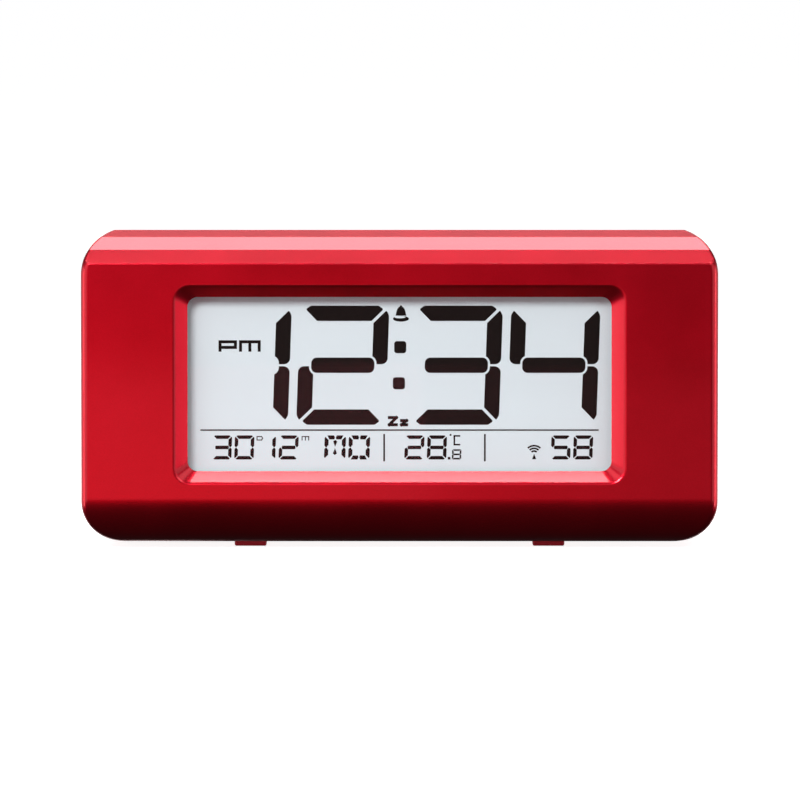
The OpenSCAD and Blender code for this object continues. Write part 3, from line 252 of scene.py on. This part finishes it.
class Socket:
    """An output of a material's nodes. Sums and products of these write Math nodes."""

    def __init__(self, tree, output=None):
        self.tree = tree
        self.output = output

    def node(self, kind, settings=None, sockets=None, out=0):
        """Adds a node: its settings are set first, then the values or links of its sockets."""
        made = self.tree.nodes.new("ShaderNode" + kind)
        for name, value in (settings or {}).items():
            if name == "stops":
                while len(made.color_ramp.elements) < len(value):
                    made.color_ramp.elements.new(0.5)
                for element, (place, colour) in zip(made.color_ramp.elements, value):
                    element.position = place
                    element.color = colour
            else:
                setattr(made, name, value)
        for name, value in (sockets or {}).items():
            if isinstance(value, Socket):
                self.tree.links.new(value.output, made.inputs[name])
            else:
                made.inputs[name].default_value = value
        return Socket(self.tree, made.outputs[out])

    def math(self, operation, first, second):
        """Adds a Math node on two values."""
        return self.node("Math", {"operation": operation}, {0: first, 1: second})

    def __add__(self, other):
        return self.math("ADD", self, other)

    def __radd__(self, other):
        return self.math("ADD", other, self)

    def __mul__(self, other):
        return self.math("MULTIPLY", self, other)

    def __rmul__(self, other):
        return self.math("MULTIPLY", other, self)

    def mix(self, colour, other):
        """The first colour where this value is 0 and the other where it is 1."""
        return self.node("Mix", {"data_type": "RGBA"}, {0: self, 6: colour, 7: other}, out=2)


def new_finish(name, constants, viewed):
    """A material with the constant sockets of its shader set, and a Socket to start its nodes from."""
    material = bpy.data.materials.new(name)
    material.use_nodes = True
    material.diffuse_color = (*viewed, 1)
    shader = material.node_tree.nodes["Principled BSDF"]
    for socket, value in constants.items():
        shader.inputs[socket].default_value = value
    return material, shader, Socket(material.node_tree)


def feed(shader, **links):
    """Links values to the shader's sockets, whose names are written with _ for the spaces."""
    for name, value in links.items():
        value.tree.links.new(value.output, shader.inputs[name.replace("_", " ")])


def place(start):
    """Where a point lies in the piece's own frame, in millimetres."""
    coords = start.node("TexCoord", out=3)
    return start.node("VectorMath", {"operation": "SCALE"}, {0: coords, "Scale": 1 / MM})


def mottle(start, where, size, detail=2.0, roughness=0.5):
    """Soft noise between 0 and 1 with patches of about that size in millimetres."""
    sockets = {"Vector": where, "Scale": 1 / size, "Detail": detail, "Roughness": roughness}
    return start.node("TexNoise", {"noise_dimensions": "3D"}, sockets)


def bumped(start, height, depth):
    """A normal from a height between 0 and 1 that is so many millimetres deep."""
    return start.node("Bump", {}, {"Strength": 1.0, "Distance": depth * MM, "Height": height})


def red_lacquer(name):
    """Metallic red base under a satin clear coat, with fine flake and faint flow of the spray."""
    deep_red = (0.46, 0.003, 0.013, 1)
    bright_red = (0.72, 0.006, 0.026, 1)
    constants = {"Metallic": 0.94, "Coat Weight": 0.6, "Coat Roughness": 0.12, "Coat IOR": 1.5}
    material, shader, start = new_finish(name, constants, viewed=(0.5, 0.02, 0.03))
    where = place(start)
    flake = mottle(start, where, 0.16, detail=1.0)
    flow = mottle(start, where, 14.0, detail=3.0)
    tone = flake * 0.55 + flow * 0.45
    feed(shader, Base_Color=tone.mix(deep_red, bright_red), Roughness=0.26 + flow * 0.08 + flake * 0.04)
    feed(shader, Normal=bumped(start, mottle(start, where, 0.5, detail=2.0), 0.004))
    return material


lacquer = red_lacquer("red_lacquer")


def dress(piece, material, body, slot, *replaced):
    """Gives a new piece its material and body, and hides the CAD nodes it stands for. The slot is not used.
    """
    piece.data.materials.clear()
    piece.data.materials.append(material)
    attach(piece, body)
    if replaced:
        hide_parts(*replaced)


dress(front_piece, lacquer, "case", "red_case", "front_housing")

# Lens and its adhesive ring: a die-cut ring of black double-sided tape holds a flat pane of clear acrylic
# against the back of the recess. The pane is polished on both faces and only shows by its reflections.
def coat(material, *names):
    """Gives CAD nodes that stay as they are their material."""
    for name in names:
        nodes[name].data.materials.clear()
        nodes[name].data.materials.append(material)


def clear_pane(name, head_on, tint):
    """A pane that reflects a small share head on and more at a slant, and lets the rest through."""
    constants = {"Base Color": (*tint, 1), "Metallic": 1.0, "Roughness": 0.03}
    material, shader, start = new_finish(name, constants, viewed=tint)
    smear = mottle(start, place(start), 18.0, detail=2.0)
    slant = start.math("POWER", start.node("LayerWeight", {}, {"Blend": 0.5}, out=1), 5.0)
    feed(shader, Alpha=(head_on + slant * (1 - head_on)) * (0.75 + smear * 0.25))
    return material


coat(clear_pane("clear_acrylic", 0.006, (0.96, 0.98, 1.0)), "window_lens")


def shade(colour, factor=1.0):
    """The colour made darker or lighter, with the fourth number that a colour socket takes."""
    return (*(min(factor * part, 1.0) for part in colour), 1)


def foam(name, colour):
    """Matt black sheet with open pores."""
    material, shader, start = new_finish(name, {"Specular IOR Level": 0.25}, viewed=colour)
    where = place(start)
    pores = start.node("TexVoronoi", {}, {"Vector": where, "Scale": 4.0})
    feed(shader, Base_Color=pores.mix(shade(colour, 0.5), shade(colour)))
    feed(shader, Roughness=0.8 + pores * 0.15, Normal=bumped(start, pores, 0.05))
    return material


black_foam = foam("black_foam", (0.03, 0.03, 0.032))
coat(black_foam, "lens_tape", "display_gasket")

# Display: two sheets of glass with the liquid crystal sealed between them, a polariser film on each side,
# and a white light guide with two side lamps behind. The dark strokes are the switched-on segments.
def clear_layer(name, tint, veil):
    """A bonded clear layer: no gloss of its own, only a faint even tint."""
    constants = {"Roughness": 0.5, "Specular IOR Level": 0.0}
    material, shader, start = new_finish(name, constants, viewed=tint)
    drift = mottle(start, place(start), 25.0)
    feed(shader, Base_Color=drift.mix(shade(tint, 0.85), shade(tint)), Alpha=veil + drift * 0.01)
    return material


coat(clear_layer("display_glass", (0.25, 0.29, 0.28), 0.05), "lcd_front_glass", "lcd_rear_glass")


def display_field():
    """Pale satin film with the faintest grain, and a faint painted glow that lightens the whole field
    evenly.
    """
    constants = {"Roughness": 0.6, "Specular IOR Level": 0.1, "Emission Strength": 0.05}
    material, shader, start = new_finish("display_field", constants, viewed=(0.76, 0.81, 0.84))
    where = place(start)
    grain = mottle(start, where, 0.12, detail=1.0)
    cloud = mottle(start, where, 30.0)
    tone = grain * 0.5 + cloud * 0.5
    feed(shader, Base_Color=tone.mix((0.722, 0.838, 0.878, 1), (0.748, 0.86, 0.895, 1)))
    # Painted glow: this emission lightens the whole field evenly, on both polariser films.
    feed(shader, Emission_Color=tone.mix((0.82, 0.88, 0.92, 1), (0.88, 0.935, 0.97, 1)))
    return material


coat(display_field(), "lcd_front_polariser", "lcd_rear_polariser")


def segment_ink():
    """The near-black of a driven segment, with a faint brown cast and soft unevenness."""
    constants = {"Specular IOR Level": 0.1}
    material, shader, start = new_finish("segment_ink", constants, viewed=(0.02, 0.016, 0.013))
    cloud = mottle(start, place(start), 6.0)
    feed(shader, Base_Color=cloud.mix((0.007, 0.004, 0.0035, 1), (0.011, 0.006, 0.0055, 1)))
    feed(shader, Roughness=0.6 + cloud * 0.1)
    return material


STROKE_T = 0.03
FILM_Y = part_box("lcd_front_polariser")[0].y / MM
segments_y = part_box("lcd_segments")[0].y / MM
strokes = bpy.data.objects.new("segment_strokes", nodes["lcd_segments"].data.copy())
bpy.context.scene.collection.objects.link(strokes)
strokes.matrix_world = nodes["lcd_segments"].matrix_world
to_world = strokes.matrix_world.copy()
for vertex in strokes.data.vertices:
    point = to_world @ vertex.co / MM
    point.y = FILM_Y - (STROKE_T if point.y < segments_y + 0.01 else 0)
    vertex.co = to_world.inverted() @ (point * MM)
dress(strokes, segment_ink(), "case", "segment_ink", "lcd_segments")


def moulded(name, colour, roughness, grain=0.35, depth=0.012, shine=0.5):
    """Moulded plastic with a fine eroded grain and slightly uneven colour."""
    material, shader, start = new_finish(name, {"Specular IOR Level": shine}, viewed=colour)
    where = place(start)
    texture = mottle(start, where, grain, detail=3.0, roughness=0.6)
    cloud = mottle(start, where, 9.0)
    tone = texture * 0.4 + cloud * 0.6
    feed(shader, Base_Color=tone.mix(shade(colour, 0.88), shade(colour, 1.12)))
    feed(shader, Roughness=(roughness - 0.05) + texture * 0.1, Normal=bumped(start, texture, depth))
    return material


white_plastic = moulded("white_plastic", (0.82, 0.82, 0.80), 0.5)
coat(white_plastic, "light_guide", "backlight_leds", "lcd_holder")
coat(moulded("seal_grey", (0.2, 0.2, 0.19), 0.6), "lcd_seal")
coat(moulded("strip_rubber", (0.2, 0.2, 0.23), 0.7), "zebra_strip")

# Boards: glass-fibre boards under green solder mask, the main one screwed to posts of the front housing.
# It carries the controller under a black epoxy dome, a quartz can, capacitors and the receiver module.
def solder_mask():
    """Green lacquer over copper tracks that show as lighter, raised stripes."""
    material, shader, start = new_finish("solder_mask", {"Coat Weight": 0.3}, viewed=(0.03, 0.2, 0.09))
    where = place(start)
    pattern = {"Vector": where, "Scale": 0.25, "Mortar Size": 0.03}
    tracks = start.node("TexBrick", {"offset": 0.5}, pattern, out=1)
    cloud = mottle(start, where, 5.0)
    tone = tracks * 0.7 + cloud * 0.2
    feed(shader, Base_Color=tone.mix((0.015, 0.13, 0.055, 1), (0.07, 0.32, 0.15, 1)))
    feed(shader, Roughness=0.32 + cloud * 0.12, Normal=bumped(start, tracks, 0.03))
    return material


coat(solder_mask(), "main_board", "key_board", "snooze_board", "receiver_module")
black_plastic = moulded("black_plastic", (0.022, 0.022, 0.024), 0.45)
coat(black_plastic, "controller_chip", "key_switches", "snooze_switch", "temperature_sensor")
coat(moulded("capacitor_sleeve", (0.05, 0.055, 0.16), 0.35), "board_capacitors")


def plated_metal(name, colour, roughness, streak=(1.0, 1.0, 0.1)):
    """Plated or rolled metal with fine drawing marks."""
    material, shader, start = new_finish(name, {"Metallic": 1.0}, viewed=colour)
    where = place(start)
    drawn = start.node("VectorMath", {"operation": "MULTIPLY"}, {0: where, 1: streak})
    marks = mottle(start, drawn, 0.12, detail=2.0)
    cloud = mottle(start, where, 4.0)
    tone = marks * 0.5 + cloud * 0.5
    feed(shader, Base_Color=tone.mix(shade(colour, 0.82), shade(colour)))
    feed(shader, Roughness=roughness + marks * 0.1, Normal=bumped(start, marks, 0.004))
    return material


steel = plated_metal("bright_steel", (0.72, 0.73, 0.75), 0.24)
coat(steel, "housing_screws", "board_screws", "key_board_screws", "snooze_board_screws")
coat(steel, "quartz_crystal", "slide_switch")

# Antenna, sounder and wiring: a ferrite rod with its copper coil in two saddles of the rear housing,
# a brass disc with a silvered ceramic on the sound holes, and leads and ribbons between the boards.
coat(moulded("ferrite", (0.05, 0.05, 0.052), 0.62, grain=0.6, depth=0.03), "ferrite_rod")
copper = plated_metal("copper_wire", (0.70, 0.33, 0.15), 0.3, streak=(6.0, 1.0, 1.0))
coat(copper, "antenna_coil", "antenna_leads")
coat(plated_metal("brass_disc", (0.78, 0.58, 0.25), 0.28), "piezo_disc")
coat(plated_metal("silvered_ceramic", (0.72, 0.71, 0.68), 0.45), "piezo_ceramic")
coat(moulded("wire_sleeve", (0.30, 0.03, 0.035), 0.45), "piezo_leads", "power_leads")
coat(moulded("ribbon_grey", (0.5, 0.5, 0.48), 0.5), "key_ribbon", "snooze_ribbon")

# Rear housing: the second shell, moulded and sprayed like the front one and screwed to it from behind
# through four deep tunnels. Its edges are a little broken along the parting line and round each opening.
def softened(name, node, edge, beyond=None):
    """A copy of a CAD node with flat faces joined up and sharp edges broken by so many millimetres.

    What stands past a plane across the case is taken off, where the plane's x and the side are given.
    """
    piece = bpy.data.objects.new(name, nodes[node].data.copy())
    bpy.context.scene.collection.objects.link(piece)
    piece.matrix_world = nodes[node].matrix_world
    shape = bmesh.new()
    shape.from_mesh(piece.data)
    bmesh.ops.remove_doubles(shape, verts=shape.verts, dist=1e-6)
    if beyond:
        plane, side = beyond
        past = [v for v in shape.verts if ((piece.matrix_world @ v.co).x / MM - plane) * side > 0.01]
        bmesh.ops.delete(shape, geom=past, context="VERTS")
        bmesh.ops.holes_fill(shape, edges=shape.edges)
    bmesh.ops.dissolve_limit(shape, angle_limit=math.radians(0.5), verts=shape.verts, edges=shape.edges)
    shape.to_mesh(piece.data)
    shape.free()
    return smooth(piece, bevel=edge)


dress(softened("rear_shell", "rear_housing", 0.25), lacquer, "case", "red_case", "rear_housing")

# Feet: four small studs moulded in the body colour and pressed into the floor of the rear housing.
# They are not sprayed, so they show the bare satin plastic.
foot_plastic = moulded("foot_plastic", (0.60, 0.03, 0.05), 0.42)
dress(softened("foot_studs", "feet", 0.35), foot_plastic, "case", "red_foot", "feet")

# Battery door: a thin moulded leaf on two hinge pins, sprayed with the case and closed by a spring tongue
# with finger grooves. Behind it two AAA cells lie between sheet-metal contacts.
dress(softened("door_leaf", "battery_door", 0.2), lacquer, "door", "red_case", "battery_door")

BAND_FROM = 10.5
PLUS_RIM = 20.7
MINUS_RIM = -21.8


def cell_jacket(name, plus_side):
    """Printed film round a cell, dark with a copper band at its plus end, and bare steel at both ends."""
    constants = {"Coat Weight": 0.25, "Coat Roughness": 0.1}
    material, shader, start = new_finish(name, constants, viewed=(0.1, 0.1, 0.12))
    where = place(start)
    along = start.node("SeparateXYZ", {}, {0: where}) * plus_side
    bare = start.math("GREATER_THAN", along, PLUS_RIM) + start.math("LESS_THAN", along, MINUS_RIM)
    band = start.math("GREATER_THAN", along, BAND_FROM)
    haze = mottle(start, where, 3.0)
    dark_print = haze.mix((0.045, 0.047, 0.055, 1), (0.06, 0.062, 0.07, 1))
    film = band.mix(dark_print, (0.62, 0.30, 0.13, 1))
    feed(shader, Base_Color=bare.mix(film, (0.72, 0.72, 0.73, 1)))
    feed(shader, Metallic=bare * 0.4 + band * 0.55, Roughness=0.3 + haze * 0.1)
    return material


for level, plus_side in (("upper", 1), ("lower", -1)):
    cell = softened(f"{level}_cell", f"{level}_battery", 0.2)
    dress(cell, cell_jacket(f"{level}_jacket", plus_side), "case", "cell_jacket", f"{level}_battery")

# Cell contacts: nickel-plated strips of spring steel in slots at the ends of the battery bay. A plus end
# meets a pressed button, and a minus end meets a coiled wire spring that stands on its strip.
STRIP_T = 0.4
REACH = 3.55
BUTTON = [(0.0, 2.4), (0.3, 2.05), (0.8, 1.85), (2.7, 1.7), (3.25, 1.45), (REACH, 0.8)]
SPRING_TURNS = 3.6
FLAT_TURNS = 0.6
SPRING_R = (3.15, 1.95)
WIRE_R = 0.24
upper_low, upper_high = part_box("upper_battery")
lower_low, lower_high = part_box("lower_battery")
CELL_Y = (upper_low.y + upper_high.y) / 2 / MM
UPPER_Z = (upper_low.z + upper_high.z) / 2 / MM
LOWER_Z = (lower_low.z + lower_high.z) / 2 / MM
LINK_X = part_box("link_contact")[0].x / MM + STRIP_T
TERMINAL_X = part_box("positive_contact")[1].x / MM - STRIP_T


def contact_button(name, x, z, inwards):
    """A pressed button on a strip whose inner face is at x, pointing inwards along the cell."""
    turns = [math.tau * k / 24 for k in range(24)]
    rings = []
    for out, radius in BUTTON:
        level = x + inwards * out
        rings.append([(level, CELL_Y + radius * math.cos(t), z + radius * math.sin(t)) for t in turns])
    dress(smooth(loft(name, rings), sharp_angle=50), steel, "case", "bright_steel")


def contact_spring(name, x, z, inwards):
    """A wire coil on a strip whose inner face is at x, flat at both ends, that narrows to the cell."""
    steps = round(28 * SPRING_TURNS)
    along = Vector((1, 0, 0))
    angles = [math.tau * step / 8 for step in range(8)]
    rings = []
    for k in range(steps + 1):
        turns = SPRING_TURNS * k / steps
        rise = min(max(turns - FLAT_TURNS, 0) / (SPRING_TURNS - 2 * FLAT_TURNS), 1)
        out = WIRE_R + (REACH - 2 * WIRE_R) * rise
        radius = SPRING_R[0] + (SPRING_R[1] - SPRING_R[0]) * k / steps
        across = Vector((0, math.cos(math.tau * turns), math.sin(math.tau * turns)))
        middle = Vector((x + inwards * out, CELL_Y, z)) + across * radius
        rings.append([middle + (across * math.cos(a) + along * math.sin(a)) * WIRE_R for a in angles])
    dress(smooth(loft(name, rings), sharp_angle=60), steel, "case", "bright_steel")


for node, plane, side in (("link_contact", LINK_X, 1), ("positive_contact", TERMINAL_X, -1),
                          ("negative_contact", TERMINAL_X, -1)):
    strip = softened(node.replace("contact", "strip"), node, 0.06, beyond=(plane, side))
    dress(strip, steel, "case", "bright_steel", node)
contact_button("link_button", LINK_X, LOWER_Z, 1)
contact_spring("link_spring", LINK_X, UPPER_Z, 1)
contact_button("positive_button", TERMINAL_X, UPPER_Z, -1)
contact_spring("negative_spring", TERMINAL_X, LOWER_Z, -1)

# Snooze bar: a long moulded key in the top of the case, sprayed with it, that dips onto a switch under
# its middle. Its rim is well rounded where the finger comes down on it.
dress(softened("snooze_cap", "snooze_bar", 0.5), lacquer, "snooze", "red_case", "snooze_bar")

# Rear keys: five caps moulded in red and left bare, in a shallow panel, each with a small printed mark
# for its use, and beside them the alarm slider with three finger grooves across its knob.
MARK_T = 0.04
KEY_FACE_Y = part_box("set_key")[1].y / MM
red_plastic = moulded("red_plastic", (0.30, 0.006, 0.012), 0.32, shine=0.35)
white_print = moulded("white_print", (0.75, 0.73, 0.71), 0.55)


def bar(x0, z0, x1, z1):
    """An upright rectangle as an outline."""
    return [(x0, z0), (x1, z0), (x1, z1), (x0, z1)]


def arc_band(x, z, radius, width, first, last):
    """Part of a ring as an outline, between two angles in degrees."""
    steps = max(14, round((last - first) / 8))
    angles = [math.radians(first + (last - first) * k / steps) for k in range(steps + 1)]
    hole = radius - width
    outer = [(x + radius * math.cos(a), z + radius * math.sin(a)) for a in angles]
    inner = [(x + hole * math.cos(a), z + hole * math.sin(a)) for a in reversed(angles)]
    return outer + inner


MARKS = {
    "set": [arc_band(0, 0, 1.45, 0.34, 90, 449),
            [(-0.75, -0.16), (0.16, -0.16), (0.16, 0.95), (-0.16, 0.95), (-0.16, 0.16), (-0.75, 0.16)]],
    "up": [[(-1.4, -0.22), (-0.22, -0.22), (-0.22, -1.4), (0.22, -1.4), (0.22, -0.22), (1.4, -0.22),
            (1.4, 0.22), (0.22, 0.22), (0.22, 1.4), (-0.22, 1.4), (-0.22, 0.22), (-1.4, 0.22)]],
    "down": [bar(-1.4, -0.22, 1.4, 0.22)],
    "alarm": [[(-1.25, -0.75), (1.25, -0.75), (0.95, 0.2), (0.7, 0.95), (0.25, 1.3),
               (-0.25, 1.3), (-0.7, 0.95), (-0.95, 0.2)],
              bar(-0.4, -1.35, 0.4, -1.0)],
    "wave": [arc_band(0, -1.1, 2.4, 0.36, 45, 135), arc_band(0, -1.1, 1.6, 0.36, 45, 135),
             arc_band(0, -1.1, 0.8, 0.36, 45, 135), bar(-0.25, -1.35, 0.25, -0.85)],
}
for key, outlines in MARKS.items():
    dress(softened(f"{key}_cap", f"{key}_key", 0.45), red_plastic, key, "red_key", f"{key}_key")
    low, high = (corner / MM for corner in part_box(f"{key}_key"))
    middle_x, middle_z = (low.x + high.x) / 2, (low.z + high.z) / 2
    points, faces = [], []
    for outline in outlines:
        count = len(outline)
        first = len(points)
        for y in (KEY_FACE_Y - MARK_T, KEY_FACE_Y + MARK_T):
            points += [(middle_x + x, y, middle_z + z) for x, z in outline]
        faces += [tuple(range(first, first + count)), tuple(range(first + count, first + 2 * count))]
        for k in range(count):
            after = (k + 1) % count
            faces.append((first + k, first + after, first + count + after, first + count + k))
    dress(mesh_piece(f"{key}_mark", points, faces), white_print, key, "white_plastic")


def block(name, low, high):
    """A box between two corners, to cut with."""
    foot = [(low.x, low.y), (high.x, low.y), (high.x, high.y), (low.x, high.y)]
    return loft(name, [[(x, y, z) for x, y in foot] for z in (low.z, high.z)])


GROOVE_PITCH = 1.1
GROOVE_W = 0.5
GROOVE_DEEP = 0.4
slider = softened("slider_knob", "alarm_slider", 0.0)
low, high = (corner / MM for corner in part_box("alarm_slider"))
for step in (-1, 0, 1):
    x = (low.x + high.x) / 2 + step * GROOVE_PITCH
    groove_low = Vector((x - GROOVE_W / 2, high.y - GROOVE_DEEP, low.z - 1))
    groove_high = Vector((x + GROOVE_W / 2, high.y + 1, high.z + 1))
    carve(slider, block("groove", groove_low, groove_high))
dress(smooth(slider, bevel=0.12), red_plastic, "alarm_switch", "red_key", "alarm_slider")
coat(white_plastic, "snooze_plunger", *(f"{key}_plunger" for key in MARKS))

# Studio: a pale floor a hair under the feet, and a long lens that looks down a little at the face. Each
# flat of the lacquer mirrors a soft light of its own: strips above for the brow and the lower bevel, panels
# before and beside the face, low red cards under it, and panels behind for the rear and the rims.
CAMERA_TILT = 4.0
CAMERA_LENS = 500.0
VIEW_W = 171.9
AIM = Vector((0.1, FRONT_Y, 32.5)) * MM

camera = bpy.data.objects.new("camera", bpy.data.cameras.new("camera"))
bpy.context.scene.collection.objects.link(camera)
camera.data.lens = CAMERA_LENS
camera.data.sensor_width = 36.0
reach = VIEW_W * MM * CAMERA_LENS / camera.data.sensor_width
tilt = math.radians(CAMERA_TILT)
outwards = Vector((0, -math.cos(tilt), math.sin(tilt)))
camera.location = AIM + outwards * reach
camera.rotation_euler = (-outwards).to_track_quat("-Z", "Y").to_euler()
camera.data.clip_start = 0.01
bpy.context.scene.camera = camera


def softbox(name, turn, rise, away, size, brightness, colour=(1, 1, 1), aim=AIM):
    """A soft light, turned so far to the right of the face and raised so far, that looks at its aim."""
    lamp = bpy.data.lights.new(name, "AREA")
    lamp.shape = "RECTANGLE"
    lamp.size, lamp.size_y = size[0] * MM, size[1] * MM
    lamp.energy = 4 * brightness * lamp.size * lamp.size_y
    lamp.color = colour
    light = bpy.data.objects.new(name, lamp)
    bpy.context.scene.collection.objects.link(light)
    turn, rise = math.radians(turn), math.radians(rise)
    level = Vector((math.sin(turn), -math.cos(turn), 0)) * math.cos(rise)
    light.location = aim + (level + Vector((0, 0, math.sin(rise)))) * away * MM
    light.rotation_euler = (aim - light.location).to_track_quat("-Z", "Y").to_euler()
    light.visible_camera = False


CARD_RED = (1.0, 0.16, 0.22)

softbox("overhead", 0, 119, 640, (560, 170), 4.3)
softbox("overhead_rear", 0, 134, 660, (520, 360), 0.26)
softbox("brow_light", 0, 87, 640, (520, 36), 0.98)
softbox("front_top", 0, 77, 620, (520, 24), 17.0)
softbox("left_strip", -78, -8, 560, (110, 300), 3.0)
softbox("left_side", -103, -6, 560, (330, 300), 0.9)
softbox("right_strip", 80, -8, 560, (110, 300), 2.9)
softbox("right_side", 103, -6, 560, (330, 300), 0.8)
softbox("left_front", -52, 3, 560, (330, 380), 0.8)
softbox("right_front", 52, 3, 560, (330, 380), 0.56)
softbox("front_left", -22, 27, 720, (260, 230), 13.2)
softbox("front_right", 24, 27, 720, (260, 230), 2.6)
softbox("red_card_left", -18, -8, 320, (220, 60), 1.35, CARD_RED)
softbox("red_card_right", 12, -8, 320, (140, 60), 0.5, CARD_RED)
softbox("left_corner", -58, 42, 600, (260, 260), 1.0)
softbox("right_corner", 58, 42, 600, (260, 260), 1.0)
softbox("rear_left", 205, -12, 620, (420, 360), 0.75)
softbox("rear_right", 150, -12, 620, (420, 360), 0.5)
softbox("backdrop", 180, 12, 640, (460, 300), 1.5)
softbox("rear_floor", 0, -90, 400, (460, 290), 0.45, aim=Vector((0, 180, 401)) * MM)


def pale_floor():
    """Matt white card with the faintest cloud, bright enough by itself to run into the background."""
    constants = {"Specular IOR Level": 0.0, "Emission Color": (1, 1, 1, 1), "Emission Strength": 0.9}
    material, shader, start = new_finish("pale_floor", constants, viewed=(0.9, 0.9, 0.9))
    cloud = mottle(start, place(start), 300.0)
    feed(shader, Base_Color=cloud.mix((0.80, 0.80, 0.80, 1), (0.82, 0.82, 0.82, 1)))
    return material


FLOOR_REACH = 20000.0
FLOOR_DROP = 0.05
floor_sides = [(-1, -1), (1, -1), (1, 1), (-1, 1)]
floor_points = [(x * FLOOR_REACH, y * FLOOR_REACH, -FLOOR_DROP) for x, y in floor_sides]
floor = mesh_piece("floor", floor_points, [(0, 1, 2, 3)])
floor.data.materials.append(pale_floor())
floor.visible_diffuse = False
floor.visible_glossy = False
floor.visible_shadow = False

world = bpy.data.worlds.new("studio")
bpy.context.scene.world = world
world.use_nodes = True
surround = Socket(world.node_tree)
sky = world.node_tree.nodes["Background"]
height = surround.node("SeparateXYZ", {}, {0: surround.node("TexCoord", out=0)}, out=2)
dark_below = (0.49, (0.015, 0.015, 0.016, 1))
dim_above = (0.56, (0.12, 0.12, 0.125, 1))
glow = surround.node("ValToRGB", {"stops": [dark_below, dim_above]}, {0: height * 0.5 + 0.5})
seen = surround.node("LightPath", out=0)
world.node_tree.links.new(seen.mix(glow, (1, 1, 1, 1)).output, sky.inputs["Color"])
bpy.context.scene.view_settings.view_transform = "Standard"
